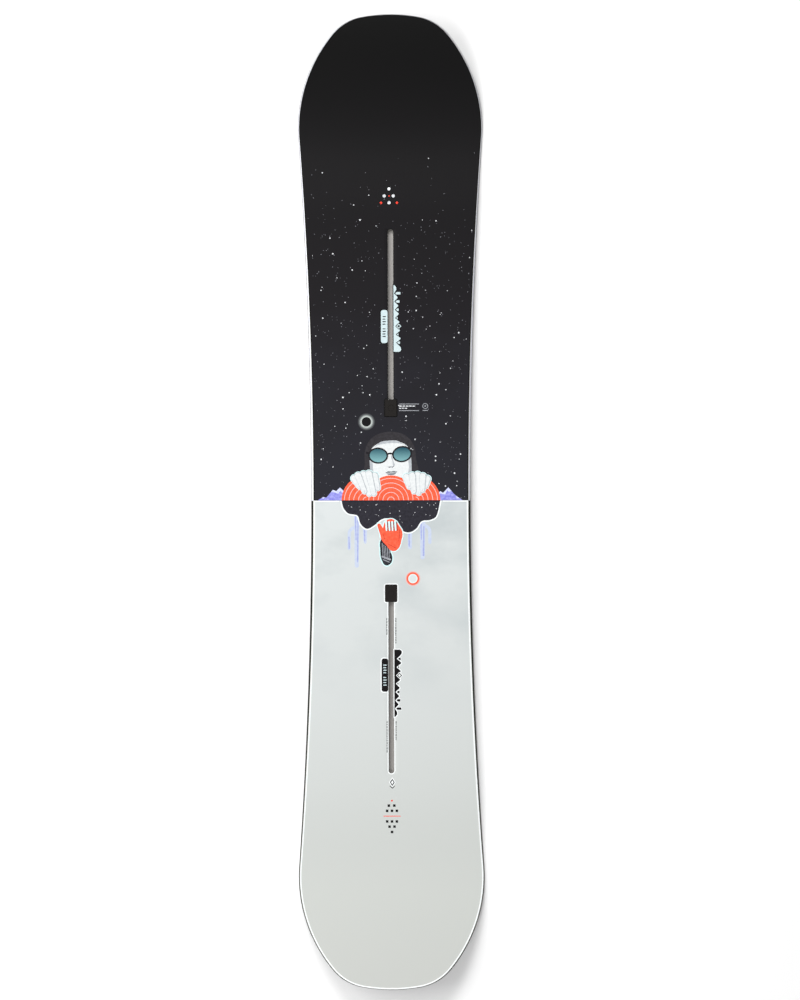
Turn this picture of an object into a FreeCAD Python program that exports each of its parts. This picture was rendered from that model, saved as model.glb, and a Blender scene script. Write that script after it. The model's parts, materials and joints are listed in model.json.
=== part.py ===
import FreeCAD, Part
import math
import os

import Sketcher
from FreeCAD import Placement, Rotation, Vector

# A twin-tip snowboard, 149 cm long, built as the real one is: a steel-edged plastic base, glass
# laminates round a wood core with plastic sidewalls, a printed topsheet, and two binding tracks.
#
# Frame: the board rests on Z = 0 with its nose towards +Y and its toe edge towards +X. The origin
# is under the middle of the board. Every layer follows one side view: a crown over the middle,
# a straight stretch under each foot, and a round nose and tail that turn up past the contact line.

SIZES = {
    # Outline seen from above: four tangent arcs in each quarter
    "board_length": 1490,
    "waist_width": 245,
    "tip_width": 284.8,
    "widest_from_tip": 170,
    "shoulder_radius": 216,
    "corner_radius": 78,
    "tip_radius": 260,
    # Side view of the base
    "crown_half": 118,
    "incline_angle": 0.7,
    "contact_from_tip": 190,
    "nose_radius": 450,
    # Layers from the snow upwards
    "base_thickness": 1.3,
    "flange_thickness": 0.6,
    "foil_thickness": 0.2,
    "core_thickness": 6,
    "spacer_thickness": 1.8,
    "glass_thickness": 0.6,
    "sheet_thickness": 0.6,
    # Steel edge, and the insets of what stands on it
    "edge_width": 2,
    "flange_width": 5,
    "edge_ledge": 0.8,
    "sidewall_width": 12,
    "bevel_at_waist": 3.5,
    "bevel_at_widest": 1.7,
    "bevel_at_tip": 1.0,
    # Wood core
    "core_end_from_tip": 145,
    "strip_width": 24.5,
    "thin_radius": 700,
    "thin_after_track": 12,
    # Binding track: a lipped channel under a slot, with a drop-in pocket at its inner end
    "slot_end_from_tip": 327.4,
    "slot_width": 8.6,
    "track_width": 24,
    "track_floor": 0.9,
    "track_end_wall": 6,
    "track_inner_wall": 3,
    "track_fit_gap": 0.15,
    "nut_width": 14.5,
    "nut_height": 2.8,
    "mat_thickness": 0.6,
    # Rubber plug that closes the pocket
    "plug_from_crown": 11,
    "plug_length": 26.4,
    "plug_width": 18.6,
    "plug_corner": 2,
    "plug_gap": 0.2,
    "plug_proud": 0.9,
    "plug_rounding": 0.7,
}

SIDE_STRIPS = 4
SIDEWALL_STATIONS = 30
TOOL_DEPTH = 300

doc = FreeCAD.newDocument("snowboard")
sheet = doc.addObject("Spreadsheet::Sheet", "Sizes")


def set_sizes(values, first_row):
    for row, (alias, value) in enumerate(values.items(), start=first_row):
        sheet.set(f"A{row}", alias.replace("_", " "))
        sheet.set(f"B{row}", repr(value))
        sheet.setAlias(f"B{row}", alias)
    doc.recompute()


def number(expression):
    """Value of an expression in the sheet's names, such as Sizes.board_length / 2."""
    return float(sheet.evalExpression(str(expression)))


# Places and heights that follow from the driving sizes. A place is a distance from the middle of
# the board along its length. The base curve is a crown arc, a straight and a nose arc, all tangent.
set_sizes(SIZES, 1)
half_length = SIZES["board_length"] / 2
slope = math.radians(SIZES["incline_angle"])
crown_radius = SIZES["crown_half"] / math.sin(slope)
contact_place = half_length - SIZES["contact_from_tip"]
turn_back = (crown_radius + SIZES["nose_radius"]) * math.tan(slope / 2)
camber_height = (contact_place - turn_back) * math.tan(slope)
apex_height = camber_height + crown_radius * math.tan(slope / 2) * math.tan(slope)
plug_place = SIZES["crown_half"] + SIZES["plug_from_crown"]
slot_end = half_length - SIZES["slot_end_from_tip"]
track_end = slot_end + SIZES["track_end_wall"]
thin_start = track_end + SIZES["thin_after_track"]
set_sizes(
    {
        "half_length": half_length,
        "widest_place": half_length - SIZES["widest_from_tip"],
        "contact_place": contact_place,
        "core_end": half_length - SIZES["core_end_from_tip"],
        "crown_radius": crown_radius,
        "camber_height": camber_height,
        "apex_height": apex_height,
        "plug_place": plug_place,
        "track_start": plug_place - SIZES["plug_gap"] - SIZES["track_inner_wall"],
        "slot_end": slot_end,
        "track_end": track_end,
        "thin_place": thin_start - SIZES["thin_radius"] * math.sin(slope),
        "thin_height": apex_height
        - thin_start * math.tan(slope)
        - SIZES["thin_radius"] * math.cos(slope),
    },
    len(SIZES) + 1,
)

# Rise of each layer's surface above the base, measured straight up
BASE_TOP = "Sizes.base_thickness"
EDGE_TOP = f"{BASE_TOP} + Sizes.flange_thickness"
CORE_BOTTOM = f"{EDGE_TOP} + Sizes.foil_thickness"
CORE_TOP = (f"{CORE_BOTTOM} + Sizes.core_thickness", f"{CORE_BOTTOM} + Sizes.spacer_thickness")
GLASS_TOP = tuple(f"{rise} + Sizes.glass_thickness" for rise in CORE_TOP)
SHEET_TOP = tuple(f"{rise} + Sizes.sheet_thickness" for rise in GLASS_TOP)


# Sketch helpers

def bind(sketch, constraint, expression):
    index = sketch.addConstraint(constraint)
    sketch.setExpression(f"Constraints[{index}]", expression)


def pin(sketch, kind, element, point, expression):
    """Hold a point at a signed distance from the sketch's origin, along X or along Y."""
    distance = number(expression)
    if abs(distance) < 1e-9:
        axis = -2 if kind == "DistanceX" else -1
        sketch.addConstraint(Sketcher.Constraint("PointOnObject", element, point, axis))
    elif distance > 0:
        bind(sketch, Sketcher.Constraint(kind, -1, 1, element, point, distance), expression)
    else:
        away = Sketcher.Constraint(kind, element, point, -1, 1, -distance)
        bind(sketch, away, f"-({expression})")


def set_radius(sketch, arc, expression):
    bind(sketch, Sketcher.Constraint("Radius", arc, number(expression)), expression)


def join(sketch, kind, *ends):
    sketch.addConstraint(Sketcher.Constraint(kind, *ends))


def add_line(sketch, start, end):
    return sketch.addGeometry(Part.LineSegment(start, end))


def add_arc(sketch, centre, radius, start, end):
    """Counter-clockwise arc between the directions of two points."""
    angles = [math.atan2(point.y - centre.y, point.x - centre.x) for point in (start, end)]
    return sketch.addGeometry(Part.ArcOfCircle(Part.Circle(centre, Vector(0, 0, 1), radius), *angles))


def add_slot(sketch, width, near, far):
    """A slot along Y, square at its near end and round at its far end."""
    half, low, high = number(width) / 2, number(near), number(far)
    centre = Vector(0, high - half, 0)
    corners = [Vector(-half, low, 0), Vector(half, low, 0), Vector(half, centre.y, 0), Vector(-half, centre.y, 0)]
    bottom = add_line(sketch, corners[0], corners[1])
    right = add_line(sketch, corners[1], corners[2])
    cap = add_arc(sketch, centre, half, corners[2], corners[3])
    left = add_line(sketch, corners[3], corners[0])
    join(sketch, "Coincident", bottom, 2, right, 1)
    join(sketch, "Coincident", left, 2, bottom, 1)
    join(sketch, "Tangent", right, 2, cap, 1)
    join(sketch, "Tangent", cap, 2, left, 1)
    join(sketch, "Horizontal", bottom)
    join(sketch, "Vertical", right)
    join(sketch, "Vertical", left)
    pin(sketch, "DistanceX", cap, 3, "0")
    pin(sketch, "DistanceY", cap, 3, f"{far} - ({width}) / 2")
    set_radius(sketch, cap, f"({width}) / 2")
    pin(sketch, "DistanceY", bottom, 1, near)


def add_rectangle(sketch, width, near, far):
    """A rectangle across the Y axis, between two distances along it."""
    half, low, high = number(width) / 2, number(near), number(far)
    corners = [Vector(-half, low, 0), Vector(half, low, 0), Vector(half, high, 0), Vector(-half, high, 0)]
    sides = [add_line(sketch, corners[i], corners[(i + 1) % 4]) for i in range(4)]
    for i in range(4):
        join(sketch, "Coincident", sides[i], 2, sides[(i + 1) % 4], 1)
        join(sketch, "Vertical" if i % 2 else "Horizontal", sides[i])
    pin(sketch, "DistanceX", sides[0], 1, f"-({width}) / 2")
    pin(sketch, "DistanceX", sides[0], 2, f"({width}) / 2")
    pin(sketch, "DistanceY", sides[0], 1, near)
    pin(sketch, "DistanceY", sides[2], 1, far)


def add_rounded_rectangle(sketch, width, near, far, radius):
    """The same rectangle with its four corners rounded."""
    half, low, high, round_by = number(width) / 2, number(near), number(far), number(radius)
    turns = [(half, low, 1, -1), (half, high, 1, 1), (-half, high, -1, 1), (-half, low, -1, -1)]
    arcs = []
    for x, y, side_x, side_y in turns:
        centre = Vector(x - side_x * round_by, y - side_y * round_by, 0)
        ends = [Vector(centre.x, y, 0), Vector(x, centre.y, 0)]
        if side_x * side_y > 0:
            ends.reverse()
        arcs.append((add_arc(sketch, centre, round_by, *ends), ends))
    lines = []
    for (_, ends), (_, next_ends) in zip(arcs, arcs[1:] + arcs[:1]):
        lines.append(add_line(sketch, ends[1], next_ends[0]))
    for i in range(4):
        join(sketch, "Tangent", arcs[i][0], 2, lines[i], 1)
        join(sketch, "Tangent", lines[i], 2, arcs[(i + 1) % 4][0], 1)
        join(sketch, "Horizontal" if i % 2 else "Vertical", lines[i])
    for arc, _ in arcs[1:]:
        join(sketch, "Equal", arcs[0][0], arc)
    set_radius(sketch, arcs[0][0], radius)
    pin(sketch, "DistanceX", lines[0], 1, f"({width}) / 2")
    pin(sketch, "DistanceX", lines[2], 1, f"-({width}) / 2")
    pin(sketch, "DistanceY", lines[1], 1, far)
    pin(sketch, "DistanceY", lines[3], 1, near)


# Solid helpers

def extrude(name, sketch, direction, length):
    solid = doc.addObject("Part::Extrusion", name)
    solid.Base = sketch
    solid.DirMode = "Custom"
    solid.Dir = direction
    solid.Solid = True
    solid.Symmetric = True
    solid.setExpression("LengthFwd", str(length))
    return solid


def common(name, first, second):
    solid = doc.addObject("Part::Common", name)
    solid.Base = first
    solid.Tool = second
    return solid


def cut(name, base, tool):
    solid = doc.addObject("Part::Cut", name)
    solid.Base = base
    solid.Tool = tool
    return solid


def fuse(name, *shapes):
    solid = doc.addObject("Part::MultiFuse", name)
    solid.Shapes = list(shapes)
    solid.Refine = True
    return solid


def mirror(name, source, normal):
    solid = doc.addObject("Part::Mirroring", name)
    solid.Source = source
    solid.Normal = normal
    return solid


def block(name, left, back, size_x, size_y):
    """An upright block, tall enough to take in every layer."""
    solid = doc.addObject("Part::Box", name)
    solid.setExpression("Length", size_x)
    solid.setExpression("Width", size_y)
    solid.Height = TOOL_DEPTH
    solid.Placement.Base.z = -TOOL_DEPTH / 2
    solid.setExpression("Placement.Base.x", left)
    solid.setExpression("Placement.Base.y", back)
    return solid


# Side view: a curve is a row of circles (place, height, radius, side), with the straight that
# touches both drawn between each two. Side is 1 where the curve is the circle's top, else -1.

def base_curve(rise):
    nose = ("Sizes.contact_place", f"Sizes.nose_radius + {rise}", "Sizes.nose_radius", -1)
    crown = ("0", f"Sizes.camber_height - Sizes.crown_radius + {rise}", "Sizes.crown_radius", 1)
    return [("-Sizes.contact_place",) + nose[1:], crown, nose]


def deck_curve(rises):
    """The curve over the core, which thins between the track's end and the contact line."""
    middle_rise, tip_rise = rises
    tail, _, nose = base_curve(tip_rise)
    crown = base_curve(middle_rise)[1]
    thin = ("Sizes.thin_place", f"Sizes.thin_height + {middle_rise}", "Sizes.thin_radius", 1)
    return [tail, ("-Sizes.thin_place",) + thin[1:], crown, thin, nose]


def touching_straight(first, second):
    """Both ends of the straight that touches two circles of a curve."""
    (y1, z1, r1, side1), (y2, z2, r2, side2) = first, second
    reach = math.hypot(y2 - y1, z2 - z1)
    bearing = math.atan2(y2 - y1, z2 - z1)
    tilt = math.acos((side1 * r1 - side2 * r2) / reach) - bearing
    up = Vector(-math.sin(tilt), math.cos(tilt), 0)
    return Vector(y1, z1, 0) + up * side1 * r1, Vector(y2, z2, 0) + up * side2 * r2


def add_curve(sketch, circles):
    """Draw a curve and return its end arcs. It runs a little past both tips, to be trimmed."""
    reach = number("Sizes.half_length") + 5
    spots = [(number(place), number(height), number(radius), side) for place, height, radius, side in circles]
    straights = [touching_straight(first, second) for first, second in zip(spots, spots[1:])]
    place, height, radius, _ = spots[-1]
    end = Vector(reach, height - math.sqrt(radius**2 - (reach - place) ** 2), 0)
    lefts = [Vector(-end.x, end.y, 0)] + [straight[1] for straight in straights]
    rights = [straight[0] for straight in straights] + [end]
    arcs = []
    for circle, spot, left, right in zip(circles, spots, lefts, rights):
        ends = (left, right) if spot[3] < 0 else (right, left)
        arc = add_arc(sketch, Vector(spot[0], spot[1], 0), spot[2], *ends)
        pin(sketch, "DistanceX", arc, 3, circle[0])
        pin(sketch, "DistanceY", arc, 3, circle[1])
        set_radius(sketch, arc, circle[2])
        arcs.append(arc)
    for i, straight in enumerate(straights):
        line = add_line(sketch, *straight)
        join(sketch, "Tangent", arcs[i], 2 if spots[i][3] < 0 else 1, line, 1)
        join(sketch, "Tangent", line, 2, arcs[i + 1], 1 if spots[i + 1][3] < 0 else 2)
    pin(sketch, "DistanceX", arcs[0], 1, "-Sizes.half_length - 5")
    pin(sketch, "DistanceX", arcs[-1], 2, "Sizes.half_length + 5")
    return (arcs[0], lefts[0]), (arcs[-1], end)


def layer(name, bottom, top):
    """A sheet as wide as the pressing blank, between two curves of the side view."""
    sketch = doc.addObject("Sketcher::SketchObject", f"{name}_side_view")
    sketch.Placement = Placement(Vector(), Rotation(Vector(1, 1, 1), 120))
    low_left, low_right = add_curve(sketch, bottom)
    high_left, high_right = add_curve(sketch, top)
    left = add_line(sketch, low_left[1], high_left[1])
    right = add_line(sketch, low_right[1], high_right[1])
    join(sketch, "Coincident", left, 1, low_left[0], 1)
    join(sketch, "Coincident", left, 2, high_left[0], 1)
    join(sketch, "Coincident", right, 1, low_right[0], 2)
    join(sketch, "Coincident", right, 2, high_right[0], 2)
    return extrude(f"{name}_blank", sketch, Vector(1, 0, 0), "Sizes.tip_width + 20")


# Outline: a quarter of the board seen from above, mirrored both ways

def outline(name, at_waist, at_widest, at_tip):
    """Upright prism inside the board's outline, by an inset at the waist, widest place and tip."""
    waist = f"Sizes.waist_width / 2 - ({at_waist})"
    shoulder_place = "Sizes.tip_width / 2 - Sizes.shoulder_radius"
    shoulder_radius = f"Sizes.shoulder_radius - ({at_widest})"
    corner_radius = f"Sizes.corner_radius - ({at_tip})"
    tip_radius = f"Sizes.tip_radius - ({at_tip})"
    tip = f"Sizes.half_length - ({at_tip})"

    shoulder = Vector(number(shoulder_place), number("Sizes.widest_place"), 0)
    tip_centre = Vector(0, number(tip) - number(tip_radius), 0)
    apart = shoulder.sub(tip_centre)
    from_shoulder = number(shoulder_radius) - number(corner_radius)
    from_tip = number(tip_radius) - number(corner_radius)
    along = (from_tip**2 - from_shoulder**2 + apart.Length**2) / (2 * apart.Length)
    across = math.sqrt(from_tip**2 - along**2)
    heading = Vector(apart).normalize()
    corner = tip_centre + heading * along + Vector(heading.y, -heading.x, 0) * across
    flare = shoulder.x + number(shoulder_radius) - number(waist)
    sidecut_radius = (flare**2 + shoulder.y**2) / (2 * flare) - number(shoulder_radius)
    sidecut = Vector(number(waist) + sidecut_radius, 0, 0)

    def meeting(inner, outer, distance):
        return outer + (inner - outer).normalize() * distance

    start = Vector(number(waist), 0, 0)
    flank = meeting(sidecut, shoulder, number(shoulder_radius))
    bend = meeting(corner, shoulder, number(shoulder_radius))
    crest = meeting(corner, tip_centre, number(tip_radius))
    end = Vector(0, number(tip), 0)

    sketch = doc.addObject("Sketcher::SketchObject", f"{name}_quarter")
    middle = add_line(sketch, Vector(), start)
    arcs = [
        add_arc(sketch, sidecut, sidecut_radius, flank, start),
        add_arc(sketch, shoulder, number(shoulder_radius), flank, bend),
        add_arc(sketch, corner, number(corner_radius), bend, crest),
        add_arc(sketch, tip_centre, number(tip_radius), crest, end),
    ]
    centre_line = add_line(sketch, end, Vector())
    join(sketch, "Coincident", middle, 1, -1, 1)
    join(sketch, "Horizontal", middle)
    pin(sketch, "DistanceX", middle, 2, waist)
    join(sketch, "Coincident", centre_line, 2, -1, 1)
    join(sketch, "Vertical", centre_line)
    pin(sketch, "DistanceY", centre_line, 1, tip)
    join(sketch, "Coincident", arcs[0], 2, middle, 2)
    join(sketch, "PointOnObject", arcs[0], 3, -1)
    join(sketch, "Tangent", arcs[0], 1, arcs[1], 1)
    pin(sketch, "DistanceX", arcs[1], 3, shoulder_place)
    pin(sketch, "DistanceY", arcs[1], 3, "Sizes.widest_place")
    set_radius(sketch, arcs[1], shoulder_radius)
    join(sketch, "Tangent", arcs[1], 2, arcs[2], 1)
    set_radius(sketch, arcs[2], corner_radius)
    join(sketch, "Tangent", arcs[2], 2, arcs[3], 1)
    set_radius(sketch, arcs[3], tip_radius)
    join(sketch, "PointOnObject", arcs[3], 3, -2)
    join(sketch, "Coincident", arcs[3], 2, centre_line, 1)

    quarter = extrude(f"{name}_quarter_prism", sketch, Vector(0, 0, 1), TOOL_DEPTH)
    nose_half = fuse(f"{name}_nose_half", quarter, mirror(f"{name}_heel_quarter", quarter, Vector(1, 0, 0)))
    return fuse(f"{name}_prism", nose_half, mirror(f"{name}_tail_half", nose_half, Vector(0, 1, 0)))


FLANGE_INSET = "Sizes.edge_width + Sizes.flange_width"
edge_outline = outline("edge", "0", "0", "0")
base_outline = outline("base", *["Sizes.edge_width"] * 3)
flange_outline = outline("flange", *[FLANGE_INSET] * 3)
ledge_outline = outline("ledge", *["Sizes.edge_ledge"] * 3)
core_outline = outline("core", *["Sizes.sidewall_width"] * 3)
deck_outline = outline("deck", "Sizes.bevel_at_waist", "Sizes.bevel_at_widest", "Sizes.bevel_at_tip")

nodes = []


def keep(solid, label):
    """Name a finished sub-part and put it on the list of nodes to write."""
    solid.Label = label
    nodes.append(solid)
    return solid


def toe_and_heel(solid, toe_label, heel_label):
    """Split a ring that goes round the board into its toe half and its heel half."""
    toe_side = block(f"{toe_label}_side", "0", "-Sizes.board_length", "Sizes.tip_width", "2 * Sizes.board_length")
    keep(common(f"{toe_label}_half", solid, toe_side), toe_label)
    keep(cut(f"{heel_label}_half", solid, toe_side), heel_label)


# Base sheet, and the steel edge round it: a rail flush with the base and a flange lying on it
base_blank = layer("base_sheet", base_curve("0"), base_curve(BASE_TOP))
base_sheet = keep(common("base_sheet_solid", base_blank, base_outline), "base_sheet")

edge_blank = layer("edge", base_curve("0"), base_curve(EDGE_TOP))
edge_ring = common("edge_ring", edge_blank, cut("edge_zone", edge_outline, flange_outline))
toe_and_heel(cut("steel_ring", edge_ring, base_sheet), "toe_edge", "heel_edge")

# Rubber foil that bonds the sidewalls and the core to the steel flange
foil_blank = layer("edge_foil", base_curve(EDGE_TOP), base_curve(CORE_BOTTOM))
foil_ring = cut("foil_ring", ledge_outline, flange_outline)
toe_and_heel(common("foil", foil_blank, foil_ring), "toe_edge_foil", "heel_edge_foil")

# Lower glass laminate, inside the flange
lower_blank = layer("bottom_laminate", base_curve(BASE_TOP), base_curve(CORE_BOTTOM))
keep(common("bottom_laminate_solid", lower_blank, flange_outline), "bottom_laminate")

# Wood core: long strips side by side, and blocks in the middle lane before and after the tracks
core_blank = layer("core", base_curve(CORE_BOTTOM), deck_curve(CORE_TOP))
core_length = block("core_length", "-Sizes.tip_width", "-Sizes.core_end", "2 * Sizes.tip_width", "2 * Sizes.core_end")
core = common("core_solid", common("core_cut", core_blank, core_length), core_outline)
for side, mirrored in (("toe", False), ("heel", True)):
    for number_out in range(SIDE_STRIPS):
        inner = f"Sizes.track_width / 2 + {number_out} * Sizes.strip_width"
        last = number_out == SIDE_STRIPS - 1
        width = "Sizes.tip_width" if last else "Sizes.strip_width"
        left = f"-({inner}) - ({width})" if mirrored else inner
        label = f"{side}_core_strip_{number_out + 1}"
        lane = block(f"{label}_lane", left, "-Sizes.core_end", width, "2 * Sizes.core_end")
        keep(common(f"{label}_solid", core, lane), label)

BLOCK_INNER = "Sizes.track_end + Sizes.track_fit_gap"
middle_reach = "Sizes.track_start - Sizes.track_fit_gap"
for label, back, length in (
    ("nose_core_block", BLOCK_INNER, f"Sizes.core_end - ({BLOCK_INNER})"),
    ("middle_core_block", f"-({middle_reach})", f"2 * ({middle_reach})"),
    ("tail_core_block", "-Sizes.core_end", f"Sizes.core_end - ({BLOCK_INNER})"),
):
    lane = block(f"{label}_lane", "-Sizes.track_width / 2", back, "Sizes.track_width", length)
    keep(common(f"{label}_solid", core, lane), label)

# Plastic spacers that carry the laminates round the nose and the tail
spacer_blank = common("spacer_ring", core_blank, ledge_outline)
nose_area = block("nose_area", "-Sizes.tip_width", "Sizes.core_end", "2 * Sizes.tip_width", "Sizes.board_length")
tail_area = mirror("tail_area", nose_area, Vector(0, 1, 0))
keep(common("nose_spacer_solid", spacer_blank, nose_area), "nose_spacer")
keep(common("tail_spacer_solid", spacer_blank, tail_area), "tail_spacer")

# Slots and drop-in pockets through the glass and the topsheet
POCKET_WIDTH = "Sizes.plug_width + 2 * Sizes.plug_gap"
POCKET_NEAR = "Sizes.plug_place - Sizes.plug_gap"
POCKET_FAR = "Sizes.plug_place + Sizes.plug_length + Sizes.plug_gap"
POCKET_CORNER = "Sizes.plug_corner + Sizes.plug_gap"
slot_sketch = doc.addObject("Sketcher::SketchObject", "slot_plan")
add_slot(slot_sketch, "Sizes.slot_width", "Sizes.plug_place", "Sizes.slot_end")
pocket_sketch = doc.addObject("Sketcher::SketchObject", "pocket_plan")
add_rounded_rectangle(pocket_sketch, POCKET_WIDTH, POCKET_NEAR, POCKET_FAR, POCKET_CORNER)
slot_cutter = extrude("slot_cutter", slot_sketch, Vector(0, 0, 1), TOOL_DEPTH)
pocket_cutter = extrude("pocket_cutter", pocket_sketch, Vector(0, 0, 1), TOOL_DEPTH)
nose_cutter = fuse("nose_cutter", slot_cutter, pocket_cutter)
deck_cutter = fuse("deck_cutter", nose_cutter, mirror("tail_cutter", nose_cutter, Vector(0, 1, 0)))

# Upper glass laminate and the printed topsheet over it
for label, bottom, top in (("top_laminate", CORE_TOP, GLASS_TOP), ("topsheet", GLASS_TOP, SHEET_TOP)):
    blank = layer(label, deck_curve(bottom), deck_curve(top))
    trimmed = common(f"{label}_trimmed", blank, deck_outline)
    keep(cut(f"{label}_solid", trimmed, deck_cutter), label)

# Tracks, mats and plugs are flat pieces in the straight stretch under each foot, so they are
# drawn flat and then tilted with it. On them, heights are measured square to the board.

def square(rise):
    return f"({rise}) * cos(Sizes.incline_angle * 1 deg)"


def sketch_at(body, name, height):
    plane = next(item for item in body.Origin.OriginFeatures if item.Role == "XY_Plane")
    sketch = body.newObject("Sketcher::SketchObject", name)
    sketch.AttachmentSupport = (plane, "")
    sketch.MapMode = "FlatFace"
    sketch.setExpression("AttachmentOffset.Base.z", height)
    return sketch


def pad(body, sketch, length):
    feature = body.newObject("PartDesign::Pad", f"{sketch.Name}_pad")
    feature.Profile = sketch
    feature.setExpression("Length", length)
    doc.recompute()
    return feature


def pocket(body, sketch, length):
    """Cut upwards from the sketch's own height."""
    before = body.Shape.Volume
    feature = body.newObject("PartDesign::Pocket", f"{sketch.Name}_pocket")
    feature.Profile = sketch
    feature.Reversed = True
    feature.setExpression("Length", length)
    doc.recompute()
    if body.Shape.Volume >= before:
        raise RuntimeError(f"{feature.Name} cut nothing")
    return feature


def lay_on_incline(body, end):
    """Place a flat piece on the straight stretch of the nose (1) or of the tail (-1)."""
    half_turn = Rotation(Vector(0, 0, 1), 0 if end > 0 else 180)
    tilt = Rotation(Vector(1, 0, 0), -number("Sizes.incline_angle"))
    body.Placement = Placement(Vector(0, 0, number("Sizes.apex_height")), half_turn * tilt)


TRACK_BOTTOM = f"{CORE_BOTTOM} + Sizes.mat_thickness"
CHANNEL_BOTTOM = f"{TRACK_BOTTOM} + Sizes.track_floor"
for side, end in (("nose", 1), ("tail", -1)):
    # Glass mat that spreads the track's load over the lower laminate
    mat = doc.addObject("PartDesign::Body", f"{side}_mat_body")
    mat_plan = sketch_at(mat, f"{side}_mat_plan", square(CORE_BOTTOM))
    add_rectangle(mat_plan, "Sizes.track_width", "Sizes.track_start", "Sizes.track_end")
    pad(mat, mat_plan, square("Sizes.mat_thickness"))
    lay_on_incline(mat, end)
    keep(mat, f"{side}_track_mat")

    # Aluminium track: a bar with a nut channel, a narrower slot over it and the drop-in pocket
    track = doc.addObject("PartDesign::Body", f"{side}_track_body")
    bar_plan = sketch_at(track, f"{side}_bar_plan", square(TRACK_BOTTOM))
    add_rectangle(bar_plan, "Sizes.track_width", "Sizes.track_start", "Sizes.track_end")
    pad(track, bar_plan, square("Sizes.core_thickness - Sizes.mat_thickness"))
    channel_plan = sketch_at(track, f"{side}_channel_plan", square(CHANNEL_BOTTOM))
    nut_overhang = "(Sizes.nut_width - Sizes.slot_width) / 2"
    add_slot(channel_plan, "Sizes.nut_width", "Sizes.plug_place", f"Sizes.slot_end + {nut_overhang}")
    pocket(track, channel_plan, square("Sizes.nut_height"))
    slot_plan = sketch_at(track, f"{side}_slot_plan", square(CHANNEL_BOTTOM))
    add_slot(slot_plan, "Sizes.slot_width", "Sizes.plug_place", "Sizes.slot_end")
    pocket(track, slot_plan, "Sizes.core_thickness")
    drop_in_plan = sketch_at(track, f"{side}_drop_in_plan", square(CHANNEL_BOTTOM))
    add_rounded_rectangle(drop_in_plan, POCKET_WIDTH, POCKET_NEAR, POCKET_FAR, POCKET_CORNER)
    pocket(track, drop_in_plan, "Sizes.core_thickness")
    lay_on_incline(track, end)
    keep(track, f"{side}_track")

    # Rubber plug, a push fit in the pocket, standing slightly proud of the topsheet
    plug = doc.addObject("PartDesign::Body", f"{side}_plug_body")
    plug_plan = sketch_at(plug, f"{side}_plug_plan", square(f"{CHANNEL_BOTTOM} + Sizes.plug_gap"))
    plug_far = "Sizes.plug_place + Sizes.plug_length"
    add_rounded_rectangle(plug_plan, "Sizes.plug_width", "Sizes.plug_place", plug_far, "Sizes.plug_corner")
    plug_top = f"{SHEET_TOP[0]} + Sizes.plug_proud"
    plug_block = pad(plug, plug_plan, square(f"{plug_top} - ({CHANNEL_BOTTOM} + Sizes.plug_gap)"))
    faces = enumerate(plug_block.Shape.Faces, start=1)
    top_face = next(f"Face{index}" for index, face in faces if face.normalAt(0, 0).z > 0.9)
    rim = plug.newObject("PartDesign::Fillet", f"{side}_plug_rim")
    rim.Base = (plug_block, [top_face])
    rim.setExpression("Radius", "Sizes.plug_rounding")
    doc.recompute()
    lay_on_incline(plug, end)
    keep(plug, f"{side}_plug")

doc.recompute()

# Sidewalls: strips whose outer face is milled from the steel edge's ledge in to the topsheet. The
# milled face is lofted through upright sections, then the strip takes its top and bottom from
# the core's own curves and its inner side from the core's outline.

def reach_of(solid, start, direction):
    """Where a ray through a solid enters it and leaves it."""
    ray = Part.makeLine(start, start + direction)
    return sorted((vertex.Point for vertex in ray.common(solid.Shape).Vertexes), key=direction.dot)


def milled_section(place):
    low, high = reach_of(core_blank, Vector(0, place, -TOOL_DEPTH / 2), Vector(0, 0, TOOL_DEPTH))
    sideways = Vector(number("Sizes.tip_width"), 0, 0)
    foot = reach_of(ledge_outline, Vector(0, place, 0), sideways)[-1].x
    top = reach_of(deck_outline, Vector(0, place, 0), sideways)[-1].x
    inner = reach_of(core_outline, Vector(0, place, 0), sideways)[-1].x - number("Sizes.sidewall_width") / 2
    lean, height = foot - top, high.z - low.z
    corners = [
        Vector(inner, place, low.z - height / 2),
        Vector(foot + lean / 2, place, low.z - height / 2),
        Vector(top - lean / 2, place, high.z + height / 2),
        Vector(inner, place, high.z + height / 2),
    ]
    return Part.makePolygon(corners + corners[:1])


core_end = number("Sizes.core_end")
sections = [milled_section(core_end * i / SIDEWALL_STATIONS) for i in range(SIDEWALL_STATIONS + 1)]
milled = Part.makeLoft(sections, True, False)
nose_toe = milled.common(core_blank.Shape).cut(core_outline.Shape)
nose_heel = nose_toe.mirror(Vector(), Vector(1, 0, 0))
for label, shape in (
    ("nose_toe_sidewall", nose_toe),
    ("nose_heel_sidewall", nose_heel),
    ("tail_toe_sidewall", nose_toe.mirror(Vector(), Vector(0, 1, 0))),
    ("tail_heel_sidewall", nose_heel.mirror(Vector(), Vector(0, 1, 0))),
):
    strip = doc.addObject("Part::Feature", label)
    strip.Shape = shape.Solids[0]
    keep(strip, label)

# Check the whole document, then write one file for each sub-part
for item in doc.Objects:
    if "Invalid" in item.State or "Error" in item.State:
        raise RuntimeError(f"{item.Name} did not build: {item.State}")
for node in nodes:
    if node.Shape.isNull() or not node.Shape.isValid() or len(node.Shape.Solids) != 1:
        raise RuntimeError(f"{node.Label} is not one valid solid")

os.makedirs("parts", exist_ok=True)
for node in nodes:
    node.Shape.exportStep(f"parts/{node.Label}.step")
print(f"wrote {len(nodes)} sub-parts")
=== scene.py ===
import bisect
import json
import math
import random

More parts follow.
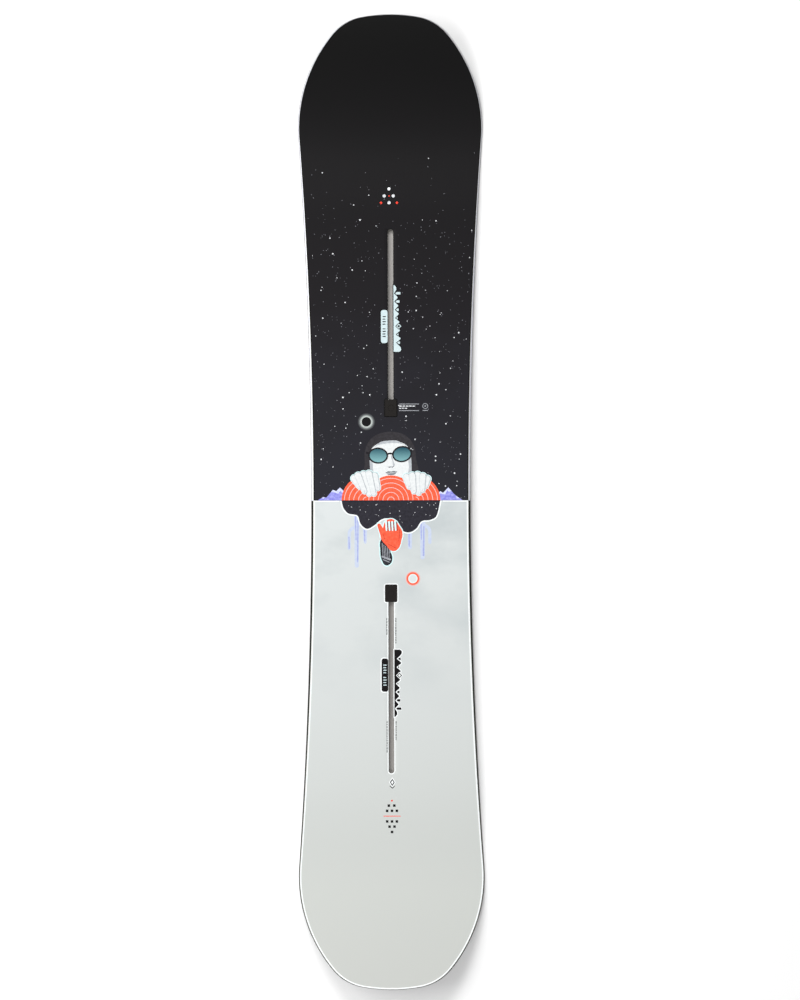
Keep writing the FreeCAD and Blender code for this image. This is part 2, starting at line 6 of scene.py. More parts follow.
import bpy
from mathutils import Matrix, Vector


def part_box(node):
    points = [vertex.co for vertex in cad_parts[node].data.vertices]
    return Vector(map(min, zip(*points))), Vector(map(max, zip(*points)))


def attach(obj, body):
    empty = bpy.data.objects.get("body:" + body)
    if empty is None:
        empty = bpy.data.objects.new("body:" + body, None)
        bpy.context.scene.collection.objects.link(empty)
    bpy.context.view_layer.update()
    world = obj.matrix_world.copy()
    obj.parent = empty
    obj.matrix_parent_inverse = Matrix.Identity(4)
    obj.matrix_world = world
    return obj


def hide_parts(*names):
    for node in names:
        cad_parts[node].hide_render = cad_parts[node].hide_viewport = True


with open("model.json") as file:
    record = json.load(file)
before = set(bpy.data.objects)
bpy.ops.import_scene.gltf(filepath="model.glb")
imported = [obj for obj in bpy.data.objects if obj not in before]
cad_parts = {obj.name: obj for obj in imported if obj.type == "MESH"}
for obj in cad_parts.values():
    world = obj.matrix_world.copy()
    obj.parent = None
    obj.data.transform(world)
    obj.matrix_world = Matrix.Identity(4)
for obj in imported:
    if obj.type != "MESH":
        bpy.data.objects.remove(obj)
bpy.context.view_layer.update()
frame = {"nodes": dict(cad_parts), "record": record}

bpy.context.scene.view_settings.view_transform = "Standard"

# ---------------------------------------------------------------------------------------------
# Base sheet. A 1.3 mm sheet of black sintered polyethylene, cut to the board's outline inside
# the steel edge, pressed in the mould to the board's curve, then stone ground along its length.

HALF_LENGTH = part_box("toe_edge")[1][1]
HALF_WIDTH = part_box("toe_edge")[1][0]
WAIST_HALF_WIDTH = 0.1225
WIDEST_PLACE = HALF_LENGTH - 0.170
SHOULDER_RADIUS = 0.216
CORNER_RADIUS = 0.078
TIP_RADIUS = 0.260
ARC_STEPS = (40, 20, 16, 10)
QUARTER_STEPS = sum(ARC_STEPS)

INCLINE = math.radians(0.7)
CROWN_HALF = 0.118
CROWN_RADIUS = CROWN_HALF / math.sin(INCLINE)
CONTACT_PLACE = HALF_LENGTH - 0.190
NOSE_RADIUS = 0.450
CAMBER = (CONTACT_PLACE - (CROWN_RADIUS + NOSE_RADIUS) * math.tan(INCLINE / 2)) * math.tan(INCLINE)
APEX = CAMBER + CROWN_RADIUS * math.tan(INCLINE / 2) * math.tan(INCLINE)
THIN_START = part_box("nose_track")[1][1] + 0.012
THIN_RADIUS = 0.700

BASE_TOP = 0.0013
EDGE_TOP = BASE_TOP + 0.0006
CORE_BOTTOM = EDGE_TOP + 0.0002
CORE_TOP = (CORE_BOTTOM + 0.0060, CORE_BOTTOM + 0.0018)
GLASS_TOP = (CORE_TOP[0] + 0.0006, CORE_TOP[1] + 0.0006)
SHEET_TOP = (GLASS_TOP[0] + 0.0006, GLASS_TOP[1] + 0.0006)


def arc_points(centre, radius, start, end, steps):
    """Points along an arc, without its last one."""
    angles = (start + (end - start) * i / steps for i in range(steps))
    return [(centre[0] + radius * math.cos(a), centre[1] + radius * math.sin(a)) for a in angles]


def quarter_outline(at_waist, at_widest, at_tip):
    """A quarter of the outline, from the waist to the tip, inset by three amounts."""
    waist = WAIST_HALF_WIDTH - at_waist
    shoulder_radius = SHOULDER_RADIUS - at_widest
    corner_radius = CORNER_RADIUS - at_tip
    tip_radius = TIP_RADIUS - at_tip
    shoulder = Vector((HALF_WIDTH - SHOULDER_RADIUS, WIDEST_PLACE))
    tip = Vector((0, HALF_LENGTH - TIP_RADIUS))
    apart = shoulder - tip
    from_shoulder, from_tip = shoulder_radius - corner_radius, tip_radius - corner_radius
    along = (from_tip**2 - from_shoulder**2 + apart.length_squared) / (2 * apart.length)
    across = math.sqrt(from_tip**2 - along**2)
    heading = apart.normalized()
    corner = tip + heading * along + Vector((heading.y, -heading.x)) * across
    flare = shoulder.x + shoulder_radius - waist
    sidecut_radius = (flare**2 + shoulder.y**2) / (2 * flare) - shoulder_radius
    sidecut = Vector((waist + sidecut_radius, 0))
    to_shoulder = shoulder - sidecut
    flank = math.atan2(to_shoulder.y, to_shoulder.x)
    bend = math.atan2(corner.y - shoulder.y, corner.x - shoulder.x)
    crest = math.atan2(corner.y - tip.y, corner.x - tip.x)
    points = arc_points(sidecut, sidecut_radius, math.pi, flank, ARC_STEPS[0])
    points += arc_points(shoulder, shoulder_radius, flank - math.pi, bend, ARC_STEPS[1])
    points += arc_points(corner, corner_radius, bend, crest, ARC_STEPS[2])
    points += arc_points(tip, tip_radius, crest, math.pi / 2, ARC_STEPS[3])
    return points + [(0, tip.y + tip_radius)]


def base_curve(rise):
    """Circles of the side view from the middle outwards: place, height, radius and side."""
    return [
        (0, CAMBER - CROWN_RADIUS + rise, CROWN_RADIUS, 1),
        (CONTACT_PLACE, NOSE_RADIUS + rise, NOSE_RADIUS, -1),
    ]


def deck_curve(rises):
    """The same over the core, which thins from the track's end to the contact line."""
    thin = (
        THIN_START - THIN_RADIUS * math.sin(INCLINE),
        APEX - THIN_START * math.tan(INCLINE) - THIN_RADIUS * math.cos(INCLINE) + rises[0],
        THIN_RADIUS,
        1,
    )
    return [base_curve(rises[0])[0], thin, base_curve(rises[1])[1]]


def touching_straight(first, second):
    """Both ends of the straight that touches two circles of a side view."""
    (y1, z1, r1, side1), (y2, z2, r2, side2) = first, second
    reach = math.hypot(y2 - y1, z2 - z1)
    tilt = math.acos((side1 * r1 - side2 * r2) / reach) - math.atan2(y2 - y1, z2 - z1)
    up = Vector((-math.sin(tilt), math.cos(tilt)))
    return Vector((y1, z1)) + up * side1 * r1, Vector((y2, z2)) + up * side2 * r2


def height_on(curve, place):
    """Height of a side view's curve at a place along the board."""
    place = abs(place)
    straights = [touching_straight(first, second) for first, second in zip(curve, curve[1:])]
    for (centre, height, radius, side), straight in zip(curve, straights + [None]):
        if straight is None or place <= straight[0].x:
            return height + side * math.sqrt(radius**2 - (place - centre) ** 2)
        if place <= straight[1].x:
            share = (place - straight[0].x) / (straight[1].x - straight[0].x)
            return straight[0].y + share * (straight[1].y - straight[0].y)


def new_piece(name):
    """Take the object just added as a named piece."""
    piece = bpy.context.object
    piece.name = name
    piece.data.name = name
    return piece


def edit(piece, mode="VERT"):
    """Enter edit mode on a piece alone, with all of it selected."""
    bpy.ops.object.select_all(action="DESELECT")
    piece.select_set(True)
    bpy.context.view_layer.objects.active = piece
    bpy.ops.object.mode_set(mode="EDIT")
    bpy.ops.mesh.select_mode(type=mode)
    bpy.ops.mesh.select_all(action="SELECT")


def finish_edit(smooth_angle=30):
    """Close poles, turn the faces outwards, leave edit mode and shade."""
    bpy.ops.mesh.select_all(action="SELECT")
    bpy.ops.mesh.remove_doubles(threshold=0.000002)
    bpy.ops.mesh.normals_make_consistent(inside=False)
    bpy.ops.object.mode_set(mode="OBJECT")
    bpy.ops.object.shade_smooth_by_angle(angle=math.radians(smooth_angle))


def press_sheet(name, low_inset, low_curve, top_inset, top_curve, columns=16):
    """Cut a flat blank, give it thickness, and press it between two curves of the mould."""
    bpy.ops.object.select_all(action="DESELECT")
    rows = 2 * QUARTER_STEPS
    bpy.ops.mesh.primitive_grid_add(x_subdivisions=columns, y_subdivisions=rows, size=2)
    piece = new_piece(name)
    edit(piece)
    bpy.ops.mesh.extrude_region_move(TRANSFORM_OT_translate={"value": (0, 0, 1)})
    bpy.ops.object.mode_set(mode="OBJECT")
    outlines = quarter_outline(*low_inset), quarter_outline(*top_inset)
    curves = low_curve, top_curve
    for vertex in piece.data.vertices:
        across, along, level = vertex.co
        side = round(level)
        row = round(along * QUARTER_STEPS)
        half_width, place = outlines[side][abs(row)]
        place = math.copysign(place, row)
        vertex.co = (across * half_width, place, height_on(curves[side], place))
    edit(piece)
    finish_edit()
    return piece


def trim(piece, point, normal):
    """Saw off what lies past a plane and close the cut."""
    edit(piece)
    bpy.ops.mesh.bisect(plane_co=point, plane_no=normal, use_fill=True, clear_outer=True)
    finish_edit()


def ink(code):
    """Linear colour of a hex code."""
    values = [int(code[i:i + 2], 16) / 255 for i in (0, 2, 4)]
    return [v / 12.92 if v <= 0.04045 else ((v + 0.055) / 1.055) ** 2.4 for v in values] + [1]


def new_material(name, colour, roughness, metallic=0.0, gloss=0.5):
    material = bpy.data.materials.new(name)
    material.use_nodes = True
    shader = material.node_tree.nodes["Principled BSDF"]
    shader.inputs["Base Color"].default_value = ink(colour)
    shader.inputs["Roughness"].default_value = roughness
    shader.inputs["Metallic"].default_value = metallic
    shader.inputs["Specular IOR Level"].default_value = gloss
    return material


def add_node(material, kind, **settings):
    node = material.node_tree.nodes.new(kind)
    for key, value in settings.items():
        if hasattr(node, key):
            setattr(node, key, value)
        else:
            node.inputs[key.replace("_", " ")].default_value = value
    return node


def link(material, output, socket):
    material.node_tree.links.new(output, socket)


def surface_noise(material, grain=(1, 1, 1), scale=100, detail=3):
    """Noise on the piece's own coordinates, stretched by its grain."""
    where = add_node(material, "ShaderNodeTexCoord")
    mapping = add_node(material, "ShaderNodeMapping", Scale=grain)
    noise = add_node(material, "ShaderNodeTexNoise", Scale=scale, Detail=detail)
    link(material, where.outputs["Object"], mapping.inputs["Vector"])
    link(material, mapping.outputs["Vector"], noise.inputs["Vector"])
    return noise


def shader_of(material):
    return material.node_tree.nodes["Principled BSDF"]


def vary_colour(material, noise, low, high, start=0.35, end=0.65):
    ramp = add_node(material, "ShaderNodeValToRGB")
    ramp.color_ramp.elements[0].position = start
    ramp.color_ramp.elements[1].position = end
    ramp.color_ramp.elements[0].color = ink(low)
    ramp.color_ramp.elements[1].color = ink(high)
    link(material, noise.outputs["Fac"], ramp.inputs["Fac"])
    link(material, ramp.outputs["Color"], shader_of(material).inputs["Base Color"])


def vary_roughness(material, noise, low, high):
    spread = add_node(material, "ShaderNodeMapRange")
    spread.inputs["To Min"].default_value = low
    spread.inputs["To Max"].default_value = high
    link(material, noise.outputs["Fac"], spread.inputs["Value"])
    link(material, spread.outputs["Result"], shader_of(material).inputs["Roughness"])


def bump(material, noise, distance, strength=0.5):
    relief = add_node(material, "ShaderNodeBump")
    relief.inputs["Strength"].default_value = strength
    relief.inputs["Distance"].default_value = distance
    link(material, noise.outputs["Fac"], relief.inputs["Height"])
    link(material, relief.outputs["Normal"], shader_of(material).inputs["Normal"])


def coat(piece, material):
    piece.data.materials.clear()
    piece.data.materials.append(material)


EDGE_WIDTH = 0.002
base_sheet = press_sheet(
    "base_sheet_ptex", [EDGE_WIDTH] * 3, base_curve(0), [EDGE_WIDTH] * 3, base_curve(BASE_TOP)
)
base_plastic = new_material("ground_base", "1B1C20", 0.3)
structure = surface_noise(base_plastic, grain=(900, 4, 40), scale=1, detail=2)
vary_roughness(base_plastic, structure, 0.24, 0.42)
vary_colour(base_plastic, structure, "17181C", "212228")
bump(base_plastic, structure, 0.00006, 0.5)
coat(base_sheet, base_plastic)
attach(base_sheet, "deck")
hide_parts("base_sheet")

# ---------------------------------------------------------------------------------------------
# Steel edges. A ground rail flush with the base, rolled with a flat flange that the laminates
# are glued to. One runs round the toe side, one round the heel side, butted at both tips.

FLANGE_INSET = EDGE_WIDTH + 0.005


def outline_loop(inset):
    """The whole outline, counter-clockwise from the waist on the toe side."""
    quarter = quarter_outline(*inset)
    toe_nose = quarter[:-1]
    heel_nose = [(-x, y) for x, y in quarter[:0:-1]]
    heel_tail = [(-x, -y) for x, y in quarter[:-1]]
    toe_tail = [(x, -y) for x, y in quarter[:0:-1]]
    return toe_nose + heel_nose + heel_tail + toe_tail


def run_strip(name, corners):
    """Extrude a strip's section corner by corner round the board. A corner is (inset, curve)."""
    count = 4 * QUARTER_STEPS
    bpy.ops.object.select_all(action="DESELECT")
    bpy.ops.mesh.primitive_circle_add(vertices=count, radius=1)
    piece = new_piece(name)
    edit(piece)
    for _ in corners[1:]:
        bpy.ops.mesh.extrude_region_move(TRANSFORM_OT_translate={"value": (0, 0, 1)})
    bpy.ops.object.mode_set(mode="OBJECT")
    loops = [outline_loop(inset) for inset, _ in corners]
    for vertex in piece.data.vertices:
        level = round(vertex.co.z)
        turn = math.atan2(vertex.co.y, vertex.co.x) / math.tau
        x, y = loops[level][round(turn * count) % count]
        vertex.co = (x, y, height_on(corners[level][1], y))
    edit(piece, "EDGE")
    bpy.ops.mesh.select_all(action="DESELECT")
    bpy.ops.mesh.select_non_manifold()
    bpy.ops.mesh.bridge_edge_loops()
    finish_edit()
    return piece


def round_edges(piece, width, segments=2, angle=40):
    bevel = piece.modifiers.new("rounding", "BEVEL")
    bevel.width = width
    bevel.segments = segments
    bevel.limit_method = "ANGLE"
    bevel.angle_limit = math.radians(angle)
    bpy.context.view_layer.objects.active = piece
    bpy.ops.object.modifier_apply(modifier=bevel.name)


edge_steel = new_material("ground_steel", "B9B8B6", 0.32, 1.0)
grinding = surface_noise(edge_steel, grain=(700, 60, 700), scale=1, detail=2)
vary_roughness(edge_steel, grinding, 0.22, 0.45)
bump(edge_steel, grinding, 0.00004, 0.4)
for side, direction in (("toe", 1), ("heel", -1)):
    steel = run_strip(
        f"{side}_steel_edge",
        [
            ([0] * 3, base_curve(0)),
            ([0] * 3, base_curve(EDGE_TOP)),
            ([FLANGE_INSET] * 3, base_curve(EDGE_TOP)),
            ([FLANGE_INSET] * 3, base_curve(BASE_TOP)),
            ([EDGE_WIDTH] * 3, base_curve(BASE_TOP)),
            ([EDGE_WIDTH] * 3, base_curve(0)),
        ],
    )
    trim(steel, (0, 0, 0), (-direction, 0, 0))
    round_edges(steel, 0.00018)
    coat(steel, edge_steel)
    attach(steel, "deck")
    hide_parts(f"{side}_edge")

# ---------------------------------------------------------------------------------------------
# Damping foil. A 0.2 mm rubber strip laid over the steel flange, which lets the glue line
# between steel, plastic and glass move. Its rim shows as a dark line above the steel.

EDGE_LEDGE = 0.0008
foil_rubber = new_material("damping_rubber", "131313", 0.75)
foil_grain = surface_noise(foil_rubber, scale=1500)
vary_roughness(foil_rubber, foil_grain, 0.65, 0.85)
bump(foil_rubber, foil_grain, 0.00002)
for side, direction in (("toe", 1), ("heel", -1)):
    foil = run_strip(
        f"{side}_damping_foil",
        [
            ([EDGE_LEDGE] * 3, base_curve(EDGE_TOP)),
            ([EDGE_LEDGE] * 3, base_curve(CORE_BOTTOM)),
            ([FLANGE_INSET] * 3, base_curve(CORE_BOTTOM)),
            ([FLANGE_INSET] * 3, base_curve(EDGE_TOP)),
        ],
    )
    trim(foil, (0, 0, 0), (-direction, 0, 0))
    coat(foil, foil_rubber)
    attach(foil, "deck")
    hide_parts(f"{side}_edge_foil")

# ---------------------------------------------------------------------------------------------
# Lower laminate and track mats. Glass cloth set in resin, sealed inside the board. The cloth's
# weave runs at 45 degrees, so it is a fine crossed grain in a greenish resin.

glass_resin = new_material("glass_laminate", "C9CBB0", 0.35)
glass_weave = surface_noise(glass_resin, grain=(600, 600, 600), scale=1, detail=1)
vary_colour(glass_resin, glass_weave, "B4B99A", "D6D7C2")
bump(glass_resin, glass_weave, 0.00003)
for node in ("bottom_laminate", "nose_track_mat", "tail_track_mat"):
    coat(frame["nodes"][node], glass_resin)

# ---------------------------------------------------------------------------------------------
# Wood core. Strips of poplar and beech glued side by side, with three blocks in the middle lane:
# before, between and after the tracks. The grain runs along the board.

WOODS = {"poplar": ("C9A878", "E3C79A"), "beech": ("A87850", "C79468")}
core_woods = {}
for wood, (dark, light) in WOODS.items():
    planed = new_material(f"planed_{wood}", light, 0.6)
    rings = surface_noise(planed, grain=(160, 6, 160), scale=1, detail=6)
    vary_colour(planed, rings, dark, light)
    bump(planed, rings, 0.0001, 0.3)
    core_woods[f"core_{wood}"] = planed
for part in frame["record"]["subparts"]:
    if part["material_slot"] in core_woods:
        coat(frame["nodes"][part["node"]], core_woods[part["material_slot"]])

# ---------------------------------------------------------------------------------------------
# Tip spacers. Plastic sheets that carry the laminates round the nose and the tail, past the end
# of the wood. Their rim is milled in line with the sidewalls and shows as a thin coloured line.

BEVEL = [0.0035, 0.0017, 0.0010]
CORE_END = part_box("nose_spacer")[0][1]


def milled_plastic(name, dark, light, roughness, gloss):
    """Sidewall plastic, with the faint ripple that the cutter leaves along it."""
    plastic = new_material(name, light, roughness, gloss=gloss)
    ripple = surface_noise(plastic, grain=(60, 420, 500), scale=1, detail=2)
    vary_colour(plastic, ripple, dark, light)
    vary_roughness(plastic, ripple, roughness - 0.08, roughness + 0.1)
    bump(plastic, ripple, 0.00005, 0.35)
    return plastic


sidewall_plastics = {
    "nose": milled_plastic("pale_sidewall", "DCDDE8", "ECEDF5", 0.45, 0.3),
    "tail": milled_plastic("dark_sidewall", "080504", "0D0807", 0.65, 0.08),
}
for end, direction in (("nose", 1), ("tail", -1)):
    spacer = press_sheet(
        f"{end}_tip_spacer", [EDGE_LEDGE] * 3, base_curve(CORE_BOTTOM), BEVEL, deck_curve(CORE_TOP)
    )
    trim(spacer, (0, direction * CORE_END, 0), (0, -direction, 0))
    coat(spacer, sidewall_plastics[end])
    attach(spacer, "deck")
    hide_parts(f"{end}_spacer")

# ---------------------------------------------------------------------------------------------
# Sidewalls. Plastic strips beside the core, milled at a slant from the steel up to the topsheet:
# pale on the nose half of the board, near black on the tail half.

SIDEWALL_WIDTH = 0.012
for end, direction in (("nose", 1), ("tail", -1)):
    for side, across in (("toe", 1), ("heel", -1)):
        wall = run_strip(
            f"{end}_{side}_sidewall_strip",
            [
                ([EDGE_LEDGE] * 3, base_curve(CORE_BOTTOM)),
                (BEVEL, deck_curve(CORE_TOP)),
                ([SIDEWALL_WIDTH] * 3, deck_curve(CORE_TOP)),
                ([SIDEWALL_WIDTH] * 3, base_curve(CORE_BOTTOM)),
            ],
        )
        trim(wall, (0, 0, 0), (-across, 0, 0))
        trim(wall, (0, 0, 0), (0, -direction, 0))
        trim(wall, (0, direction * CORE_END, 0), (0, direction, 0))
        coat(wall, sidewall_plastics[end])
        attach(wall, "deck")
        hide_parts(f"{end}_{side}_sidewall")

# ---------------------------------------------------------------------------------------------
# Upper laminate. Glass cloth over the core and the tracks, milled with the sidewalls. Only its
# thin rim shows, between the sidewall and the topsheet.

MILLED_STEP = 0.00025


def cut_out(piece, cutter):
    """Cut a hole through a piece with another, and throw the cutter away."""
    hole = piece.modifiers.new("hole", "BOOLEAN")
    hole.operation = "DIFFERENCE"
    hole.solver = "EXACT"
    hole.object = cutter
    bpy.context.view_layer.objects.active = piece
    bpy.ops.object.modifier_apply(modifier=hole.name)
    bpy.data.objects.remove(cutter)


SLOT_WIDTH = 0.0086
SLOT_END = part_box("nose_track")[1][1] - 0.006
PLUG_PLACE = 0.129
PLUG_LENGTH = 0.0264
PLUG_WIDTH = 0.0186
PLUG_CORNER = 0.002
PLUG_GAP = 0.0002
CUTTER_HEIGHT = 0.1


def slot_cutter(end):
    """A round-ended bar as wide as the slot: a cylinder with its inner half drawn to the pocket."""
    middle = SLOT_END - SLOT_WIDTH / 2
    bpy.ops.object.select_all(action="DESELECT")
    bpy.ops.mesh.primitive_cylinder_add(
        vertices=64, radius=SLOT_WIDTH / 2, depth=CUTTER_HEIGHT, location=(0, end * middle, 0)
    )
    cutter = new_piece("slot_cutter")
    bpy.ops.object.transform_apply(location=True, rotation=True, scale=True)
    for vertex in cutter.data.vertices:
        if end * vertex.co.y < middle - 0.00001:
            vertex.co.y -= end * (middle - PLUG_PLACE - PLUG_LENGTH / 2)
    return cutter


def pocket_block(name, end, gap, depth, centre_height):
    """An upright block as large as the plug and a gap round it, with its corners rounded."""
    bpy.ops.object.select_all(action="DESELECT")
    middle = end * (PLUG_PLACE + PLUG_LENGTH / 2)
    bpy.ops.mesh.primitive_cube_add(size=1, location=(0, middle, centre_height))
    piece = new_piece(name)
    piece.scale = (PLUG_WIDTH + 2 * gap, PLUG_LENGTH + 2 * gap, depth)
    bpy.ops.object.transform_apply(location=True, rotation=True, scale=True)
    edit(piece, "EDGE")
    bpy.ops.mesh.select_all(action="DESELECT")
    bpy.ops.object.mode_set(mode="OBJECT")
    for edge in piece.data.edges:
        ends = [piece.data.vertices[i].co for i in edge.vertices]
        edge.select = abs(ends[0].z - ends[1].z) > depth / 2
    bpy.ops.object.mode_set(mode="EDIT")
    bpy.ops.mesh.bevel(offset=PLUG_CORNER + gap, segments=8, affect="EDGES")
    finish_edit()
    return piece


def cut_openings(piece):
    """Cut both slots and both plug pockets through a piece."""
    for end in (1, -1):
        cut_out(piece, slot_cutter(end))
        cut_out(piece, pocket_block("pocket_cutter", end, PLUG_GAP, CUTTER_HEIGHT, 0))


def milled_inset(steps):
    """Insets of a layer's rim, a number of milled steps up the bevel from the core's top."""
    return [inset + steps * MILLED_STEP * inset / BEVEL[0] for inset in BEVEL]


top_laminate = press_sheet(
    "upper_glass_laminate", BEVEL, deck_curve(CORE_TOP), milled_inset(1), deck_curve(GLASS_TOP), columns=2
)
cut_openings(top_laminate)
coat(top_laminate, glass_resin)
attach(top_laminate, "deck")
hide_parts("top_laminate")

# ---------------------------------------------------------------------------------------------
# Tracks. Extruded aluminium channels let into the core under the slots, mill finish, with the
# drawing marks of the die along them.

track_metal = new_material("mill_aluminium", "ABA8A5", 0.5, 0.7)
die_marks = surface_noise(track_metal, grain=(1500, 8, 1500), scale=1, detail=2)
vary_roughness(track_metal, die_marks, 0.45, 0.68)
bump(track_metal, die_marks, 0.00003, 0.4)
for node in ("nose_track", "tail_track"):
    coat(frame["nodes"][node], track_metal)

# ---------------------------------------------------------------------------------------------
# Topsheet. A 0.6 mm plastic sheet printed from below: night sky over the nose half and pale sky
# over the tail half, meeting in a straight horizon at the middle of the board.

topsheet = press_sheet(
    "printed_topsheet",
    milled_inset(1),
    deck_curve(GLASS_TOP),
    milled_inset(2),
    deck_curve(SHEET_TOP),
    columns=24,
)
cut_openings(topsheet)
round_edges(topsheet, 0.00012, angle=50)


def sky(name, stops, cloud, roughness):
    """Print colour that changes along the board, with clouds by the horizon.

    Stops are (distance from the middle, colour).
    """
    sky_print = new_material(name, stops[0][1], roughness, gloss=0.14)
    where = add_node(sky_print, "ShaderNodeTexCoord")
    split = add_node(sky_print, "ShaderNodeSeparateXYZ")
    distance = add_node(sky_print, "ShaderNodeMath", operation="ABSOLUTE")
    share = add_node(sky_print, "ShaderNodeMath", operation="DIVIDE")
    share.inputs[1].default_value = HALF_LENGTH
    ramp = add_node(sky_print, "ShaderNodeValToRGB")
    link(sky_print, where.outputs["Object"], split.inputs["Vector"])
    link(sky_print, split.outputs["Y"], distance.inputs[0])
    link(sky_print, distance.outputs["Value"], share.inputs[0])
    link(sky_print, share.outputs["Value"], ramp.inputs["Fac"])
    for _ in stops[2:]:
        ramp.color_ramp.elements.new(0.5)
    for element, (place, colour) in zip(ramp.color_ramp.elements, stops):
        element.position = place / HALF_LENGTH
        element.color = ink(colour)
    clouds = surface_noise(sky_print, grain=(9, 14, 9), scale=1, detail=4)
    thickness = add_node(sky_print, "ShaderNodeMapRange")
    thickness.inputs["From Min"].default_value = 0.42
    thickness.inputs["From Max"].default_value = 0.75
    link(sky_print, clouds.outputs["Fac"], thickness.inputs["Value"])
    nearness = add_node(sky_print, "ShaderNodeMapRange")
    nearness.inputs["From Min"].default_value = 0.45
    nearness.inputs["From Max"].default_value = 0.05
    link(sky_print, share.outputs["Value"], nearness.inputs["Value"])
    amount = add_node(sky_print, "ShaderNodeMath", operation="MULTIPLY")
    link(sky_print, thickness.outputs["Result"], amount.inputs[0])
    link(sky_print, nearness.outputs["Result"], amount.inputs[1])
    mixed = add_node(sky_print, "ShaderNodeMix", data_type="RGBA")
    link(sky_print, amount.outputs["Value"], mixed.inputs[0])
    link(sky_print, ramp.outputs["Color"], mixed.inputs[6])
    mixed.inputs[7].default_value = ink(cloud)
    link(sky_print, mixed.outputs[2], shader_of(sky_print).inputs["Base Color"])
    satin = surface_noise(sky_print, scale=900)
    vary_roughness(sky_print, satin, roughness - 0.06, roughness + 0.06)
    bump(sky_print, satin, 0.00001, 0.3)
    return sky_print


SKY_PLACES = (0, 0.3, 0.6, 0.745)
NIGHT = ("27272D", "1A181B", "0F0E0F", "060606")
PALE = ("D0D5D5", "CBCFCE", "C4C7C3", "BBBDB9")
PRINT_ROUGHNESS = 0.46
night_sky = sky("night_sky", list(zip(SKY_PLACES, NIGHT)), "26262D", PRINT_ROUGHNESS)
pale_sky = sky("pale_sky", list(zip(SKY_PLACES, PALE)), "B0B8BA", PRINT_ROUGHNESS)
coat(topsheet, night_sky)
topsheet.data.materials.append(pale_sky)
for face in topsheet.data.polygons:
    face.material_index = 0 if face.center.y > 0 else 1
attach(topsheet, "deck")
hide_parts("topsheet")

# ---------------------------------------------------------------------------------------------
# Stars. The print under the clear face of the sheet is laid in thin films of ink, one over
# another. The stars of the night half come first, and with them a ring on each half.

FILM = 0.000015
FILM_ROOT = 0.00002
print_outline = quarter_outline(*milled_inset(2))
ink_rows = [place for _, place in print_outline]
row_heights = [height_on(deck_curve(SHEET_TOP), place) for place in ink_rows]


def sheet_height(place):
    """Height of the topsheet's face, which is flat between its rows."""
    row = min(max(bisect.bisect(ink_rows, abs(place)), 1), len(ink_rows) - 1)
    share = (abs(place) - ink_rows[row - 1]) / (ink_rows[row] - ink_rows[row - 1])
    return row_heights[row - 1] + share * (row_heights[row] - row_heights[row - 1])


def print_film(name, shapes, material, film, smooth=False, grow=0):
    """Lay closed outlines, in millimetres, on the topsheet as one thin film of ink."""
    curve = bpy.data.curves.new(name, "CURVE")
    curve.dimensions = "2D"
    curve.fill_mode = "BOTH"
    curve.extrude = 0.001
    curve.offset = grow / 1000
    curve.resolution_u = 8
    for shape in shapes:
        spline = curve.splines.new("BEZIER" if smooth else "POLY")
        points = spline.bezier_points if smooth else spline.points
        points.add(len(shape) - 1)
        for point, (x, y) in zip(points, shape):
            point.co = (x / 1000, y / 1000, 0) if smooth else (x / 1000, y / 1000, 0, 1)
            if smooth:
                point.handle_left_type = point.handle_right_type = "AUTO"
        spline.use_cyclic_u = True
    bpy.ops.object.select_all(action="DESELECT")
    piece = bpy.data.objects.new(name, curve)
    bpy.context.collection.objects.link(piece)
    piece.select_set(True)
    bpy.context.view_layer.objects.active = piece
    bpy.ops.object.convert(target="MESH")
    piece = new_piece(name)
    near = min(vertex.co.y for vertex in piece.data.vertices)
    far = max(vertex.co.y for vertex in piece.data.vertices)
    edit(piece)
    bpy.ops.mesh.remove_doubles(threshold=0.000002)
    for row in sorted({math.copysign(place, side) for place in ink_rows for side in (1, -1)}):
        if near < row < far:
            bpy.ops.mesh.select_all(action="SELECT")
            bpy.ops.mesh.bisect(plane_co=(0, row, 0), plane_no=(0, 1, 0))
    bpy.ops.object.mode_set(mode="OBJECT")
    for vertex in piece.data.vertices:
        lift = film * FILM if vertex.co.z > 0 else -FILM_ROOT
        vertex.co.z = sheet_height(vertex.co.y) + lift
    edit(piece)
    bpy.ops.mesh.normals_make_consistent(inside=False)
    bpy.ops.object.mode_set(mode="OBJECT")
    coat(piece, material)
    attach(piece, "deck")


def ink_material(name, colour, second=None, roughness=0.44):
    """Flat ink with the slight mottle of a transfer print."""
    film = new_material(name, colour, roughness, gloss=0.14)
    mottle = surface_noise(film, scale=260, detail=3)
    vary_colour(film, mottle, colour, second or colour)
    vary_roughness(film, mottle, roughness - 0.05, roughness + 0.05)
    return film


def disc(x, y, radius, steps=40, flatten=1.0, turn=0.0):
    """A circle, or an ellipse flattened and turned."""
    points = []
    cos, sin = math.cos(turn), math.sin(turn)
    for step in range(steps):
        angle = math.tau * step / steps
        u, v = radius * math.cos(angle), radius * flatten * math.sin(angle)
        points.append((x + u * cos - v * sin, y + u * sin + v * cos))
    return points


def half_width_at(y):
    """Half the topsheet's width at a place, in millimetres."""
    row = min(max(bisect.bisect(ink_rows, abs(y) / 1000), 1), len(ink_rows) - 1)
    widths = [width for width, _ in print_outline[row - 1:row + 1]]
    return 1000 * min(widths)


def scatter_stars(seed, count, radii, lowest, highest):
    """Six-sided dots, thinning out towards the tip, clear of the slot and of the rim."""
    dice = random.Random(seed)
    stars = []
    while len(stars) < count:
        y = dice.uniform(lowest, highest)
        x = dice.uniform(-138, 138)
        if abs(x) > half_width_at(y) - 4 or (abs(x) < 12 and 110 < y < 425):
            continue
        if y > 420 and dice.random() < (y - 420) / 230 + 0.45:
            continue
        stars.append(disc(x, y, dice.triangular(*radii), 6, turn=dice.uniform(0, 1)))
    return stars


